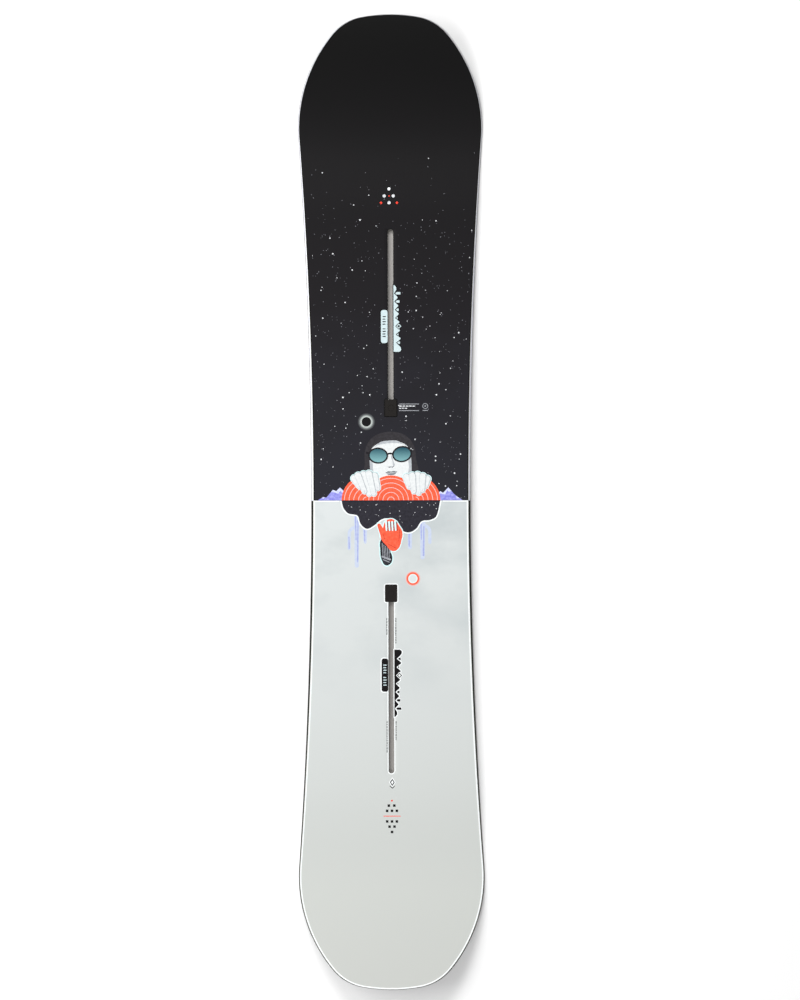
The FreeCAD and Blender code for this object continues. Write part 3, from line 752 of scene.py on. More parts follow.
star_white = ink_material("star_white", "E8EAEC", "C9CCD0")
star_grey = ink_material("star_grey", "8C8D93", "62636A")
print_film("bright_stars", scatter_stars(3, 95, (0.55, 1.5, 0.7), 4, 600), star_white, 1)
print_film("faint_stars", scatter_stars(8, 620, (0.28, 0.8, 0.4), 3, 618), star_grey, 1)


def radial_print(name, centre, stops, roughness=0.44):
    """Ink that changes with the distance from a centre. Stops are (distance, colour)."""
    film = new_material(name, stops[0][1], roughness, gloss=0.14)
    where = add_node(film, "ShaderNodeTexCoord")
    flat = add_node(film, "ShaderNodeVectorMath", operation="MULTIPLY")
    flat.inputs[1].default_value = (1, 1, 0)
    apart = add_node(film, "ShaderNodeVectorMath", operation="DISTANCE")
    apart.inputs[1].default_value = (centre[0] / 1000, centre[1] / 1000, 0)
    share = add_node(film, "ShaderNodeMath", operation="DIVIDE")
    share.inputs[1].default_value = stops[-1][0] / 1000
    ramp = add_node(film, "ShaderNodeValToRGB")
    link(film, where.outputs["Object"], flat.inputs[0])
    link(film, flat.outputs["Vector"], apart.inputs[0])
    link(film, apart.outputs["Value"], share.inputs[0])
    link(film, share.outputs["Value"], ramp.inputs["Fac"])
    for _ in stops[2:]:
        ramp.color_ramp.elements.new(0.5)
    for element, (distance, colour) in zip(ramp.color_ramp.elements, stops):
        element.position = distance / stops[-1][0]
        element.color = ink(colour)
    link(film, ramp.outputs["Color"], shader_of(film).inputs["Base Color"])
    return film


ECLIPSE = (-37.4, 120.9)
eclipse_print = radial_print(
    "eclipse_glow",
    ECLIPSE,
    [(0, "141416"), (6.9, "141416"), (7.7, "C3CAC6"), (8.8, "A9B0AD"), (11, "5C5F61"), (13.4, "242327")],
)
print_film("eclipse", [disc(*ECLIPSE, 13.4)], eclipse_print, 2)

SUN_RING = (33.4, -119.9)
ring_print = radial_print(
    "ring_glow",
    SUN_RING,
    [(0, "D2D8D8"), (4.6, "D2D8D8"), (6.8, "D9F0F0"), (7.3, "F2603F"), (8.9, "F2603F"), (11.8, "D0D5D5")],
)
print_film("ring_over_pale_sky", [disc(*SUN_RING, 11.7)], ring_print, 2)

# ---------------------------------------------------------------------------------------------
# Horizon. Snow peaks on both sides, three coral suns of concentric rings rising in the middle,
# and below them a dark pool with a pale rim that drips down the pale half.

peak_blue = ink_material("peak_blue", "7F7FD6", "A3A4E6")
snow_lilac = ink_material("snow_lilac", "C3C9F2", "D7DCF5")
PEAKS = [
    [(-112, 0.3), (-104, 5.5), (-99, 4.5), (-89, 16.5), (-84, 14.5), (-78, 20), (-66, 9), (-60, 0.3)],
    [(60, 0.3), (69, 10), (76, 14), (80, 11.5), (88, 20), (97, 9.5), (102, 5.5), (110, 0.3)],
]
CAPS = [
    [
        (-92.3, 12.6), (-89, 16.5), (-84, 14.5), (-78, 20), (-71, 13),
        (-75, 12), (-77.5, 15), (-81, 10.5), (-86, 12.5),
    ],
    [(-106, 3.9), (-104, 5.5), (-101.5, 5), (-103.5, 2.5)],
    [
        (66, 6.6), (69, 10), (76, 14), (80, 11.5), (88, 20),
        (92.5, 15), (89, 13), (86.5, 15.5), (83, 9), (76, 10.5),
    ],
    [(100, 7), (102, 5.5), (105, 3.4), (101, 3)],
]
print_film("snow_peaks", PEAKS, peak_blue, 2)
print_film("snow_caps", CAPS, snow_lilac, 3)


def half_ring(x, y, outer, inner=None, steps=40):
    """Half a disc standing on the horizon, or half a ring where it has an inner radius."""
    turns = [math.pi * i / steps for i in range(steps + 1)]
    points = [(x + outer * math.cos(a), y + outer * math.sin(a)) for a in turns]
    if inner:
        points += [(x + inner * math.cos(a), y + inner * math.sin(a)) for a in reversed(turns)]
    return points


SUN_SPREAD = 37.5
SUN_RADIUS = 38.2
SUN_FOOT = 0.2
FIRST_RING = 4.6
RING_STEP = 7.2
RING_WIDTH = 1.0
sun_coral = ink_material("sun_coral", "FB5A3C", "FF6A4B")
ring_pink = ink_material("ring_pink", "F6C6C4", "F3B4B0")
for label, place, film in (("heel", -SUN_SPREAD, 4), ("toe", SUN_SPREAD, 6), ("middle", 0, 8)):
    print_film(f"{label}_sun", [half_ring(place, SUN_FOOT, SUN_RADIUS)], sun_coral, film)
    inner_radii = [FIRST_RING + RING_STEP * i for i in range(5)]
    rings = [half_ring(place, SUN_FOOT, radius + RING_WIDTH, radius) for radius in inner_radii]
    print_film(f"{label}_sun_rings", rings, ring_pink, film + 1)

POOL = [
    (-75.5, -0.4), (-73, -11), (-66, -19.5), (-57, -21.5), (-50.5, -24), (-46.5, -36),
    (-37, -43.5), (-26, -38.5), (-15, -29.5), (-4, -27.5), (7, -34), (17, -46),
    (28, -49), (38.5, -43.5), (47, -32), (60, -30), (70, -23.5), (75.5, -0.4),
]
pool_rim = ink_material("pool_rim", "F2F6F6", "E9F0F0")
pool_ink = ink_material("pool_ink", "29282F", "302F37")


def soft_step(a, b, c, d, share):
    """A coordinate a share of the way from b to c, on a soft line that also passes a and d."""
    cubic = 3 * (b - c) + d - a
    square = 2 * a - 5 * b + 4 * c - d
    return b + 0.5 * share * (c - a + share * (square + share * cubic))


def smooth_line(points, steps=5):
    """Points along a soft line through the given ones, with both ends kept."""
    padded = [points[0]] + points + [points[-1]]
    line = []
    for four in zip(padded, padded[1:], padded[2:], padded[3:]):
        for i in range(steps):
            x, y = (soft_step(*coordinates, i / steps) for coordinates in zip(*four))
            line.append((x, y))
    return line + [points[-1]]


def grown(points, amount):
    """A line's points moved outwards, for a line that runs anticlockwise below its shape."""
    moved = []
    for before, point, after in zip([points[0]] + points, points, points[1:] + [points[-1]]):
        heading = Vector((after[0] - before[0], after[1] - before[1])).normalized()
        moved.append((point[0] + amount * heading.y, point[1] - amount * heading.x))
    return moved


pool_line = smooth_line(POOL)
print_film("pool_rim", [[(-78, -0.4)] + grown(pool_line, 2.0)[1:-1] + [(78, -0.4)]], pool_rim, 5)
print_film("dark_pool", [pool_line], pool_ink, 6)
pool_stars = []
dice = random.Random(21)
while len(pool_stars) < 34:
    x, y = dice.uniform(-70, 70), dice.uniform(-40, -3)
    shore = max(v for u, v in pool_line[5:-5] if abs(u - x) < 6)
    if y > shore + 3 or y > -16:
        pool_stars.append(disc(x, y, dice.triangular(0.3, 1.0, 0.45), 6))
print_film("pool_stars", pool_stars, star_white, 7)
horizon_ink = ink_material("horizon_ink", "0F1B26")
print_film("horizon_line", [[(-75.5, -1.1), (75.5, -1.1), (75.5, 0.3), (-75.5, 0.3)]], horizon_ink, 10)


def bar(x0, y0, x1, y1, radius=0.0, steps=5):
    """A rectangle with rounded corners."""
    x0, x1, y0, y1 = min(x0, x1), max(x0, x1), min(y0, y1), max(y0, y1)
    if not radius:
        return [(x0, y0), (x1, y0), (x1, y1), (x0, y1)]
    left, right, low, high = x0 + radius, x1 - radius, y0 + radius, y1 - radius
    points = []
    for quarter, (x, y) in enumerate(((right, high), (left, high), (left, low), (right, low))):
        for i in range(steps + 1):
            angle = math.pi / 2 * (quarter + i / steps)
            points.append((x + radius * math.cos(angle), y + radius * math.sin(angle)))
    return points


def finger(x0, y0, x1, y1, radius0, radius1, steps=8):
    """A rounded bar between two places, as thick at each end as given."""
    heading = math.atan2(y1 - y0, x1 - x0)
    points = []
    for x, y, radius, quarter in ((x1, y1, radius1, -math.pi / 2), (x0, y0, radius0, math.pi / 2)):
        for i in range(steps + 1):
            angle = heading + quarter + math.pi * i / steps
            points.append((x + radius * math.cos(angle), y + radius * math.sin(angle)))
    return points


drip_pale = ink_material("drip_pale", "BCC7DF", "C6CFE0")
drip_deep = ink_material("drip_deep", "979FD4", "A9B2DC")


def side_drip(side, start, top, low):
    """A drip that leaves its neighbour in an arch and then runs straight down."""
    reach, inside = 12, 7
    radius, middle = (reach - inside) / 2, (reach + inside) / 2
    turns = [math.radians(a) for a in range(0, 91, 15)]
    half_turns = [math.pi * i / 6 for i in range(7)]
    outer = [(start + reach * math.cos(a), top - reach + reach * math.sin(a)) for a in reversed(turns)]
    inner = [(start + inside * math.cos(a), top - reach + inside * math.sin(a)) for a in turns]
    foot = [(start + middle + radius * math.cos(a), low + radius - radius * math.sin(a)) for a in half_turns]
    return [(side * x, y) for x, y in outer + foot + inner]


print_film(
    "pale_drips",
    [
        finger(-52.5, -18, -52.5, -100, 4.2, 3.0),
        finger(-40, -40, -39.5, -64, 3.6, 2.2),
        finger(29, -44, 29, -72, 3.4, 3.0),
        finger(48.5, -28, 48.5, -87, 4.4, 3.2),
    ],
    drip_pale,
    2,
)
arches = [side_drip(-1, 54.5, -39, -76), side_drip(1, 50, -36, -67)]
print_film("arched_drips", arches, drip_pale, 1)
print_film(
    "deep_drips",
    [
        finger(-54.5, -22, -53.5, -60, 1.1, 0.7),
        finger(-50.6, -30, -51.2, -94, 0.9, 0.8),
        finger(-64.4, -56, -64, -73, 0.8, 1.1),
        finger(-40.6, -46, -40.2, -62, 1.0, 0.9),
        finger(27.8, -50, 28, -70, 1.1, 1.2),
        finger(46, -34, 46.6, -60, 1.1, 0.7),
        finger(50.4, -40, 49.6, -84, 0.8, 1.3),
    ],
    drip_deep,
    3,
)

# ---------------------------------------------------------------------------------------------
# Figure. A calm rider in a close dark cap and round tinted glasses looks over the suns, with
# both hands laid on them. Below the pool a mitten on a knitted sleeve reaches up.

HEAD_TURN = math.radians(3.5)
HEAD_MIDDLE = (-1.0, 68.0)


def tilted(points):
    """Points of the head, drawn upright round its middle, tilted with it."""
    cos, sin = math.cos(HEAD_TURN), math.sin(HEAD_TURN)
    return [(HEAD_MIDDLE[0] + u * cos - v * sin, HEAD_MIDDLE[1] + u * sin + v * cos) for u, v in points]


hair_ink = ink_material("hair_ink", "302E31", "38363A")
skin_pale = ink_material("skin_pale", "D9DDDE", "E3E6E6")
skin_shade = ink_material("skin_shade", "A9AEB3", "B9BEC2")
line_grey = ink_material("line_grey", "6E7379", "7E838A")


def both_sides(points):
    """A line up one side of the head, carried on by its mirror image down the other."""
    return points + [(-x, y) for x, y in reversed(points) if x]


cap_line = both_sides([(-38, -34), (-39.5, -6), (-37, 14), (-27, 29), (-10, 36.5)])
print_film("cap_and_hair", [tilted(cap_line)], hair_ink, 2, smooth=True)
face_line = both_sides([(-31, -34), (-32, -12), (-31, 4), (-26, 15), (-14, 21.5), (0, 23)])
print_film("face", [tilted(smooth_line(face_line))], skin_pale, 3)
CHEEK = [(31, -33), (32, -12), (30.5, 3), (27.5, -8), (27.5, -20), (24, -33)]
CAP_SHADOW = [
    (-22, 16.5), (-10, 19.5), (10, 19.5), (22, 16.5), (27, 12), (14, 22.3), (0, 24), (-14, 22.3), (-27, 12),
]
NOSE_SIDE = [(2.2, 2), (4.5, -8), (6.2, -14.5), (3.4, -16.6), (3.2, -10), (0.8, 0)]
face_shades = [[(-x, y) for x, y in CHEEK], CHEEK, CAP_SHADOW, NOSE_SIDE]
print_film("face_shade", [tilted(smooth_line(shade)) for shade in face_shades], skin_shade, 4)
NOSE_FOOT = [
    (-5.2, -15.6), (-2.6, -17.6), (0, -17), (2.6, -17.6), (5.2, -15.6),
    (2.4, -16.2), (0, -15.9), (-2.4, -16.2),
]
UPPER_LIP = [
    (-9.5, -25), (-4.5, -23), (0, -23.6), (4.5, -23), (9.5, -25), (4.5, -25.6), (0, -25.3), (-4.5, -25.6),
]
LOWER_LIP = [
    (-8, -26), (-4, -26.3), (0, -26.1), (4, -26.3), (8, -26), (4.4, -28.6), (0, -29.2), (-4.4, -28.6),
]
face_lines = [tilted(smooth_line(line)) for line in (NOSE_FOOT, UPPER_LIP, LOWER_LIP)]
print_film("nose_and_mouth", face_lines, line_grey, 4)
frame_dark = ink_material("glasses_frame", "1B1A1E", "242327")
lens_shapes, frame_shapes = [], []
for side in (-1, 1):
    lens_shapes.append(tilted(disc(side * 18.4, 2.0, 12.9, 40, flatten=0.78, turn=side * 0.12)))
    frame_shapes.append(tilted(disc(side * 18.4, 2.0, 15.4, 40, flatten=0.81, turn=side * 0.12)))
    frame_shapes.append(tilted(finger(side * 30, 5.6, side * 35.5, 7.5, 1.6, 1.3)))
frame_shapes.append(tilted([(-6, 4.4), (0, 5.6), (6, 4.4), (6, 1.6), (0, 3.0), (-6, 1.6)]))
for number, shape in enumerate(frame_shapes):
    print_film(f"glasses_frame_{number + 1}", [shape], frame_dark, 5 + number % 3)
lens_teal = new_material("lens_teal", "3E7888", 0.36, gloss=0.14)
where = add_node(lens_teal, "ShaderNodeTexCoord")
split = add_node(lens_teal, "ShaderNodeSeparateXYZ")
fade = add_node(lens_teal, "ShaderNodeMapRange")
fade.inputs["From Min"].default_value = 0.059
fade.inputs["From Max"].default_value = 0.081
tint = add_node(lens_teal, "ShaderNodeValToRGB")
link(lens_teal, where.outputs["Object"], split.inputs["Vector"])
link(lens_teal, split.outputs["Y"], fade.inputs["Value"])
link(lens_teal, fade.outputs["Result"], tint.inputs["Fac"])
tint.color_ramp.elements[0].color = ink("7FB0B4")
tint.color_ramp.elements[1].color = ink("1F4C5B")
link(lens_teal, tint.outputs["Color"], shader_of(lens_teal).inputs["Base Color"])
print_film("glasses_lenses", lens_shapes, lens_teal, 9)
print_film("glasses_glints", [disc(31.0, 79.5, 1.0, 12), disc(33.6, 77.8, 0.7, 12)], star_white, 10)

hand_rim = ink_material("hand_rim", "C9EEF0", "D7F3F3")
# A finger is (knuckle x, knuckle y, tip x, tip y). Its shade shows on its toe side only.
HANDS = {
    "heel": [
        (-56, 34, -47.5, 21), (-50, 38, -40, 14), (-42, 40, -33, 10),
        (-33.5, 41, -26, 10.5), (-24.5, 38, -20, 19),
    ],
    "toe": [
        (24, 36, 28.5, 21), (33, 38, 35.5, 14), (41, 39, 42.5, 11.5),
        (49, 37, 48.5, 16), (56, 33, 53.5, 22),
    ],
}
SHADE_SHIFT = 0.5
for side, fingers in HANDS.items():
    for number, (x0, y0, x1, y1) in enumerate(fingers, 1):
        film = 14 - 3 * (number % 2)
        rim = finger(x0, y0, x1, y1, 6.6, 4.9)
        edge = finger(x0, y0, x1, y1, 5.6, 4.1)
        skin = finger(x0 - SHADE_SHIFT, y0, x1 - SHADE_SHIFT, y1, 4.7, 3.3)
        nail = finger(x1 - SHADE_SHIFT, y1 + 0.6, x1 - SHADE_SHIFT, y1 - 0.8, 1.7, 1.5)
        print_film(f"{side}_finger_rim_{number}", [rim], hand_rim, 10)
        print_film(f"{side}_finger_edge_{number}", [edge], skin_shade, film)
        print_film(f"{side}_finger_{number}", [skin], skin_pale, film + 1)
        print_film(f"{side}_nail_{number}", [nail], star_white, film + 2)

knit_dark = ink_material("knit_dark", "232327", "34353B")
knit_pale = ink_material("knit_pale", "8D9097", "A9ADB3")
mitten_coral = ink_material("mitten_coral", "F4553B", "FF6B4E")
mitten_shade = ink_material("mitten_shade", "B23A2B", "C64733")
SLEEVE = [
    (-15, -60), (-16.5, -76), (-14, -92), (-8, -99.5), (-1, -97), (2, -88), (-2, -76), (-6, -64), (-10, -58),
]
MITTEN = [
    (-13, -45), (-8.5, -32), (-1.5, -28.5), (6.5, -31), (12.5, -39), (17.3, -48), (16, -61), (10, -75),
    (2, -77.5), (-7.5, -68.5), (-14.5, -60), (-16, -52),
]
print_film("sleeve_rim", [SLEEVE], hand_rim, 7, smooth=True, grow=1.6)
print_film("mitten_rim", [MITTEN], hand_rim, 7, smooth=True, grow=1.6)
print_film("mitten_thumb_rim", [finger(-12, -52, -18.5, -37, 5.8, 4.0)], hand_rim, 8)
print_film("knitted_sleeve", [SLEEVE], knit_dark, 9, smooth=True)
ribs = [
    finger(-13.6 + 2.7 * i, -66 - 2.2 * i, -12.2 + 2.3 * i, -88 - 0.9 * i, 0.5, 0.45) for i in range(5)
]
print_film("sleeve_ribs", ribs, knit_pale, 10)
cuff = [finger(-13.3, -86, -1.4, -90.5, 1.3, 1.3), finger(-12.2, -90.6, -2.8, -94.6, 0.7, 0.7)]
print_film("sleeve_cuff", cuff, knit_pale, 11)
print_film("mitten_thumb", [finger(-12, -52, -18.2, -38, 4.5, 2.8)], mitten_coral, 12)
print_film("coral_mitten", [MITTEN], mitten_coral, 13, smooth=True)
seams = [
    finger(-12.4, -51, -9.3, -60, 0.5, 0.4),
    finger(13.2, -45, 12.2, -62, 0.5, 0.7),
    finger(-5, -66.5, 7.5, -73, 0.5, 0.5),
]
print_film("mitten_seams", seams, mitten_shade, 14)
ribbing = [
    finger(-7.6 + 4.6 * i, -33.5 + abs(i - 1.5), -6.9 + 4.7 * i, -45.5, 1.5, 1.2) for i in range(4)
]
print_film("mitten_ribbing", ribbing, hand_rim, 14)
dark_ribs = [finger(-5.2 + 4.6 * i, -33, -4.5 + 4.7 * i, -46, 0.6, 0.6) for i in range(4)]
print_film("mitten_ribs", dark_ribs, knit_dark, 15)

# ---------------------------------------------------------------------------------------------
# Rims of the print. A dark line follows the edge of the night half and a white line that of the
# pale half, and each slot and plug pocket has a border of the same ink.

rim_dark = ink_material("rim_dark", "0A0A0B")
rim_white = ink_material("rim_white", "F4F7F7", "EDF1F1")
RIM_GAP = 0.2
ink_edge = [(1000 * x, 1000 * y) for x, y in print_outline]
for half, width, name, film_ink in ((1, 1.3, "night_rim", rim_dark), (-1, 2.0, "pale_rim", rim_white)):
    outer = [(x - RIM_GAP, half * y) for x, y in ink_edge[:-1]] + [(0, half * (ink_edge[-1][1] - RIM_GAP))]
    inner = []
    for before, point, after in zip([outer[0]] + outer, outer, outer[1:] + [outer[-1]]):
        heading = Vector((after[0] - before[0], after[1] - before[1])).normalized()
        inner.append((point[0] - width * abs(heading.y), point[1] - half * width * abs(heading.x)))
    inner[-1] = (0, outer[-1][1] - half * width)
    loop = outer + [(-x, y) for x, y in outer[-2::-1]] + [(-x, y) for x, y in inner[:-1]] + inner[::-1]
    print_film(name, [loop], film_ink, 2)

PLUG_INNER = 1000 * PLUG_PLACE
PLUG_OUTER = PLUG_INNER + 1000 * PLUG_LENGTH
PLUG_SIDE = 500 * PLUG_WIDTH
OPENING_GAP = 0.3
BORDER_BEND = 1000 * PLUG_CORNER + OPENING_GAP
SLOT_SIDE = 500 * SLOT_WIDTH
SLOT_FAR = 1000 * SLOT_END


def corner_arc(x, y, radius, start):
    """Points of a quarter circle round a centre."""
    turns = (math.radians(start + step) for step in range(0, 91, 15))
    return [(x + radius * math.cos(a), y + radius * math.sin(a)) for a in turns]


def opening_border(half, width):
    """A line of ink round the plug pocket and the slot, clear of both openings."""
    near, far, side = PLUG_INNER - OPENING_GAP, PLUG_OUTER + OPENING_GAP, PLUG_SIDE + OPENING_GAP
    lane, end = SLOT_SIDE + OPENING_GAP / 2, SLOT_FAR - SLOT_SIDE
    bend_x, bend_near, bend_far = side - BORDER_BEND, near + BORDER_BEND, far - BORDER_BEND
    inside = [(0, near)] + corner_arc(bend_x, bend_near, BORDER_BEND, 270)
    inside += corner_arc(bend_x, bend_far, BORDER_BEND, 0) + [(lane, far), (lane, end)]
    turns = [math.radians(step) for step in range(10, 91, 10)]
    around = [(lane * math.cos(a), end + lane * math.sin(a)) for a in turns]
    outside = [(0, near - width)] + corner_arc(bend_x, bend_near, BORDER_BEND + width, 270)
    outside += corner_arc(bend_x, bend_far, BORDER_BEND + width, 0)
    outside += [(lane + width, far + width), (lane + width, end)]
    beyond = [(x * (lane + width) / lane, end + (y - end) * (lane + width) / lane) for x, y in around]
    inner, outer = inside + around, outside + beyond
    loop = outer + [(-x, y) for x, y in outer[-2:0:-1]]
    hole = inner + [(-x, y) for x, y in inner[-2:0:-1]]
    return [[(x, half * y) for x, y in loop], [(x, half * y) for x, y in hole]]


RIM_START, RIM_END = 79.5, 1000 * WAIST_HALF_WIDTH - 6.5
horizon_rims = [bar(side * RIM_START, -2.0, side * RIM_END, -0.2) for side in (-1, 1)]
print_film("horizon_rims", horizon_rims, rim_white, 3)
print_film("night_opening_border", opening_border(1, 0.9), rim_dark, 3)
print_film("pale_opening_border", opening_border(-1, 1.5), rim_white, 3)

# ---------------------------------------------------------------------------------------------
# Stance prints. Beside each slot runs a toothed scale for setting the stance, with a tooth for
# each 12.7 mm step and a diamond at the middle setting, and on its other side a tab with strokes.

TOOTH_PITCH = 12.7
STANCE_MIDDLE = 268.0
SCALE_INNER, SCALE_OUTER = 228.5, 331.5
tab_pale = ink_material("tab_pale", "C4D6DA", "CCDDE0")
tab_black = ink_material("tab_black", "141314")


def scale_width(place, at_inner, at_outer):
    """How far the scale reaches from the slot's middle, which narrows away from the plug."""
    share = (place - SCALE_INNER) / (SCALE_OUTER - SCALE_INNER)
    return at_inner + share * (at_outer - at_inner)


def toothed_scale(half):
    """A strip along the slot with a notch at each stance step and both ends rounded."""
    left = SLOT_SIDE + 0.35
    points = [(left, SCALE_OUTER), (left + 1.6, SCALE_OUTER - 0.4), (8.8, SCALE_OUTER - 3.4)]
    for step in range(4, -3, -1):
        place = STANCE_MIDDLE + step * TOOTH_PITCH
        if step < 4:
            tip = place + TOOTH_PITCH / 2
            points += [(scale_width(tip, 16.6, 9.4), tip + 0.8), (scale_width(tip, 16.6, 9.4), tip - 0.8)]
        else:
            points += [(8.8, place + 5.2)]
        points.append((scale_width(place, 9.0, 4.9), place))
    for x, rise in ((15.6, 7), (16.4, 3.2), (14.6, 0.8), (12.6, 0), (left, 0)):
        points.append((x, SCALE_INNER + rise))
    return [(x, half * y) for x, y in points]


def step_marks(half):
    """A wedge in each notch, longer the further the step is from the middle setting."""
    marks = []
    for step in (-2, -1, 1, 2, 3, 4):
        place = STANCE_MIDDLE + step * TOOTH_PITCH
        start = scale_width(place, 9.0, 4.9) + 1.7
        shoulder, end = start + 2.4, start + 2.4 + 1.9 * (abs(step) - 1)
        low, high = place - 1.9, place + 1.9
        marks.append([(start, place), (shoulder, high), (end, high), (end, low), (shoulder, low)])
    return [[(x, half * y) for x, y in mark] for mark in marks]


def middle_mark(half):
    """An open diamond at the middle setting."""
    x = scale_width(STANCE_MIDDLE, 9.0, 4.9) + 5.2
    corners = ((-1, 0), (0, -1), (1, 0), (0, 1))
    return [[(x + reach * u, half * (STANCE_MIDDLE + reach * v)) for u, v in corners] for reach in (3.9, 2.2)]


TAB_LEFT, TAB_NEAR, TAB_FAR = -14.8, 242.0, 293.0
TAB_BORDER = 1.5
for half, end, film_ink, stroke_ink, border in (
    (1, "nose", tab_pale, tab_black, rim_dark), (-1, "tail", tab_black, tab_pale, rim_white)
):
    tab = bar(TAB_LEFT, half * TAB_NEAR, -SLOT_SIDE - 0.4, half * TAB_FAR, 3.4)
    near, far = half * (TAB_NEAR - TAB_BORDER), half * (TAB_FAR + TAB_BORDER)
    tab_border = bar(TAB_LEFT - TAB_BORDER, near, -SLOT_SIDE - 0.4, far, 4.4)
    print_film(f"{end}_tab_border", [tab_border], border, 4)
    print_film(f"{end}_tab", [tab], film_ink, 5)
    middle = (TAB_NEAR + TAB_FAR) / 2
    strokes = []
    for group in (-1, 1):
        for number in range(4):
            place = half * (middle + group * (3.6 + 3.9 * number))
            strokes.append(bar(-12.3, place - 0.75, -7.9 + 0.6 * (number % 2), place + 0.75, 0.4))
    print_film(f"{end}_tab_strokes", strokes, stroke_ink, 6)
    print_film(f"{end}_scale_border", [toothed_scale(half)], border, 4, grow=1.3)
    print_film(f"{end}_toothed_scale", [toothed_scale(half)], film_ink, 5)
    print_film(f"{end}_mark_borders", step_marks(half), border, 6, grow=0.7)
    print_film(f"{end}_step_marks", step_marks(half), film_ink, 7)
    print_film(f"{end}_middle_border", middle_mark(half)[:1], border, 6, grow=1.0)
    print_film(f"{end}_middle_mark", middle_mark(half), film_ink, 7)

# ---------------------------------------------------------------------------------------------
# Small marks. Where such a board carries names and notes, this one has plain dots, dashes and
# bars of the same size: by the nose plug, along the slots and on the centre line near both ends.

label_grey = ink_material("label_grey", "9B9DA2", "87898F")
print_film("label_rules", [bar(12.7, 147.5, 43.4, 148.7), bar(12.7, 137.4, 43.4, 138.6)], label_grey, 2)
dashes = [bar(13 + 5.1 * i, 144.2, 17 + 5.1 * i, 145.7) for i in range(5)]
dashes += [bar(13 + 4.4 * i, 140.9, 16.4 + 4.4 * i, 142.3) for i in range(3)]
print_film("label_dashes", dashes, star_white, 2)
ring = [disc(53, 145.0, radius, steps) for radius, steps in ((4.4, 24), (3.4, 24), (1.3, 12))]
print_film("label_ring", ring, label_grey, 2)
print_film("label_ring_bar", [bar(49, 137.6, 57, 138.9, 0.4)], label_grey, 2)
mark_red = ink_material("mark_red", "E8402F", "F04B38")
nose_dots = [disc(x, y, 2.5, 20) for x, y in ((-2, 480.3), (-9.3, 469.3), (4.6, 469.3), (-1.9, 458.7))]
print_film("nose_dot_borders", nose_dots, rim_dark, 2, grow=1.2)
print_film("nose_dots", nose_dots, star_white, 3)
nose_diamonds = [disc(-14.2, 458.7, 2.3, 4), disc(10.2, 458.7, 2.3, 4), disc(-1.9, 469.3, 1.1, 8)]
print_film("nose_diamonds", nose_diamonds, mark_red, 3)
diamond = [disc(1.2, -431.5, reach, 4, flatten=0.66, turn=math.pi / 2) for reach in (5.6, 3.2)]
CHEVRON = [(-2.6, -436.2), (1.2, -439.6), (5.0, -436.2), (5.0, -437.6), (1.2, -441.2), (-2.6, -437.6)]
print_film("tail_diamond_border", diamond[:1], rim_white, 2, grow=1.2)
print_film("tail_diamond", diamond + [CHEVRON], tab_black, 3)
TAIL_ROWS = (
    (-467, (-4.2, 4.2)),
    (-475, (-6.8, 0.6, 8)),
    (-491.3, (-6.8, 0.6, 8)),
    (-499.2, (-3.2, 4.4)),
    (-507.4, (0.6,)),
)
tail_dots = [disc(x, y, 2.7, 4, turn=0.785) for y, places in TAIL_ROWS for x in places]
print_film("tail_dots", tail_dots, tab_black, 2)
print_film("tail_red_dot", [disc(0.6, -459.4, 1.4, 12)], mark_red, 2)
print_film("tail_line", [bar(-12.4, -483.8, 13.9, -482.4)], ring_pink, 2)
print_film("tail_line_core", [bar(-12.4, -483.6, 13.9, -482.6)], mark_red, 3)
note_grey = ink_material("note_grey", "4B4E4E", "5E6262")
COLUMNS = ((-7.3, -180, -206), (6.4, -180, -219), (-7.3, -338, -386), (6.4, -338, -367))
NOTE_WIDTH = 1.4
notes = []
dice = random.Random(5)
for x, near, far in COLUMNS:
    place = near
    while place > far:
        length = dice.uniform(1.4, 4.6)
        notes.append(bar(x, place, x + NOTE_WIDTH, max(place - length, far)))
        place -= length + dice.uniform(0.6, 1.1)
print_film("slot_notes", notes, note_grey, 4)

# ---------------------------------------------------------------------------------------------
# Plugs. Moulded rubber blocks pushed into the drop-in pockets. Each stands a little proud, with
# a soft rim and a shallow ring in its top for a thumbnail.

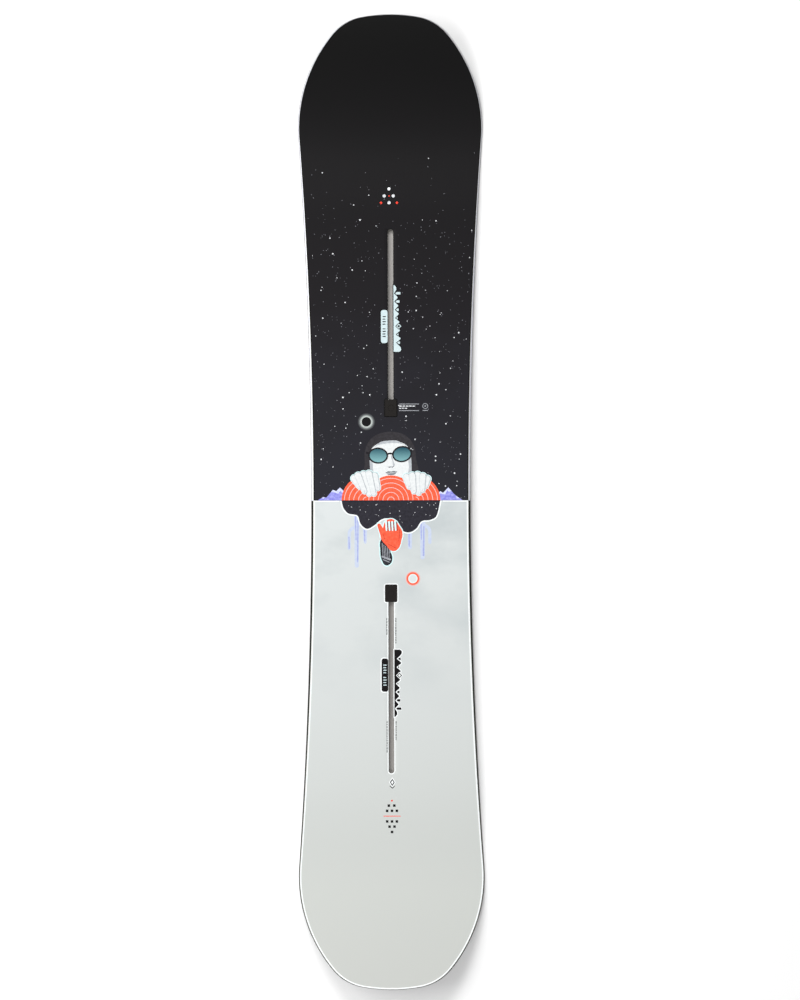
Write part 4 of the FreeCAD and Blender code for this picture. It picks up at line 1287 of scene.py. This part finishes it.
PLUG_RELIEF = 0.00015
plug_rubber = new_material("moulded_rubber", "1C1A19", 0.62, gloss=0.14)
rubber_grain = surface_noise(plug_rubber, scale=2200, detail=4)
vary_roughness(plug_rubber, rubber_grain, 0.55, 0.75)
vary_colour(plug_rubber, rubber_grain, "191716", "221F1D")
bump(plug_rubber, rubber_grain, 0.00004, 0.5)
for end, direction in (("nose", 1), ("tail", -1)):
    low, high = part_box(f"{end}_plug")
    top = high[2] - PLUG_RELIEF
    height, middle = high[2] - low[2] - 2 * PLUG_RELIEF, (high[2] + low[2]) / 2
    plug = pocket_block(f"{end}_rubber_plug", direction, 0, height, middle)
    edit(plug, "FACE")
    bpy.ops.mesh.select_all(action="DESELECT")
    bpy.ops.object.mode_set(mode="OBJECT")
    for face in plug.data.polygons:
        face.select = face.normal.z > 0.99
    bpy.ops.object.mode_set(mode="EDIT")
    bpy.ops.mesh.inset(thickness=0.0012)
    bpy.ops.mesh.inset(thickness=0.0003, depth=-0.00025)
    bpy.ops.object.mode_set(mode="OBJECT")
    round_edges(plug, 0.0007, segments=4, angle=60)
    bpy.ops.object.select_all(action="DESELECT")
    bpy.ops.mesh.primitive_torus_add(
        location=(0, direction * (PLUG_PLACE + PLUG_LENGTH / 2), top - 0.0003),
        major_radius=0.0045, minor_radius=0.0004, major_segments=40, minor_segments=10,
    )
    ring = new_piece("thumb_ring")
    bpy.ops.object.transform_apply(location=True, rotation=True, scale=True)
    raised = plug.modifiers.new("ring", "BOOLEAN")
    raised.operation = "UNION"
    raised.object = ring
    bpy.context.view_layer.objects.active = plug
    bpy.ops.object.modifier_apply(modifier=raised.name)
    bpy.data.objects.remove(ring)
    coat(plug, plug_rubber)
    for vertex in plug.data.vertices:
        vertex.co.z -= math.tan(INCLINE) * (abs(vertex.co.y) - abs(low[1] + high[1]) / 2)
    edit(plug)
    finish_edit(40)
    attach(plug, f"{end}_plug")
    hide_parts(f"{end}_plug")

# ---------------------------------------------------------------------------------------------
# Stage. A plain white floor under a sky that is palest at its horizon, four soft panels of light
# round the board, and a camera looking almost straight down.

FLOOR_GLOW = 0.12
HORIZON_LIGHT, ZENITH_LIGHT = 0.75, 0.26
FADE_END = 0.35
bpy.ops.object.select_all(action="DESELECT")
bpy.ops.mesh.primitive_plane_add(size=16, location=(0, 0, 0))
floor = new_piece("floor")
white_floor = new_material("white_floor", "EDEDED", 0.9)
shader_of(white_floor).inputs["Emission Color"].default_value = (1, 1, 1, 1)
shader_of(white_floor).inputs["Emission Strength"].default_value = FLOOR_GLOW
coat(floor, white_floor)

world = bpy.data.worlds.new("studio")
bpy.context.scene.world = world
world.use_nodes = True
studio_light = world.node_tree.nodes["Background"]
studio_light.inputs["Strength"].default_value = 1.0
where = world.node_tree.nodes.new("ShaderNodeTexCoord")
split = world.node_tree.nodes.new("ShaderNodeSeparateXYZ")
fade = world.node_tree.nodes.new("ShaderNodeMapRange")
fade.inputs["From Max"].default_value = FADE_END
fade.inputs["To Min"].default_value = HORIZON_LIGHT
fade.inputs["To Max"].default_value = ZENITH_LIGHT
world.node_tree.links.new(where.outputs["Generated"], split.inputs["Vector"])
world.node_tree.links.new(split.outputs["Z"], fade.inputs["Value"])
world.node_tree.links.new(fade.outputs["Result"], studio_light.inputs["Color"])


def soft_panel(name, location, size, power):
    """A rectangular lamp that faces the middle of the board."""
    data = bpy.data.lights.new(name, "AREA")
    data.shape = "RECTANGLE"
    data.size, data.size_y = size
    data.energy = power
    lamp = bpy.data.objects.new(name, data)
    bpy.context.collection.objects.link(lamp)
    lamp.location = location
    lamp.rotation_euler = (-Vector(location)).to_track_quat("-Z", "Y").to_euler()


soft_panel("left_panel", (-2.5, 0.4, 2.3), (3.0, 1.7), 72)
soft_panel("right_panel", (3.0, -0.4, 2.6), (2.4, 1.4), 6)
soft_panel("nose_panel", (-0.8, 3.2, 3.0), (2.4, 1.4), 128)
soft_panel("tail_panel", (-0.8, -3.2, 3.0), (2.4, 1.4), 56)

SENSOR_HEIGHT = 36
FRAME_HEIGHT = 1.534
CAMERA_DISTANCE = 6.0
CAMERA_TILT = math.radians(2.2)
CAMERA_ROLL = math.radians(-0.13)
AIM = Vector((0.0134, 0.0008, 0.012))
camera_data = bpy.data.cameras.new("camera")
camera_data.sensor_fit = "VERTICAL"
camera_data.sensor_height = SENSOR_HEIGHT
camera_data.lens = SENSOR_HEIGHT * CAMERA_DISTANCE / FRAME_HEIGHT
camera = bpy.data.objects.new("camera", camera_data)
bpy.context.collection.objects.link(camera)
camera.location = AIM + CAMERA_DISTANCE * Vector((0, -math.sin(CAMERA_TILT), math.cos(CAMERA_TILT)))
camera.rotation_euler = (CAMERA_TILT, 0, CAMERA_ROLL)
bpy.context.scene.camera = camera
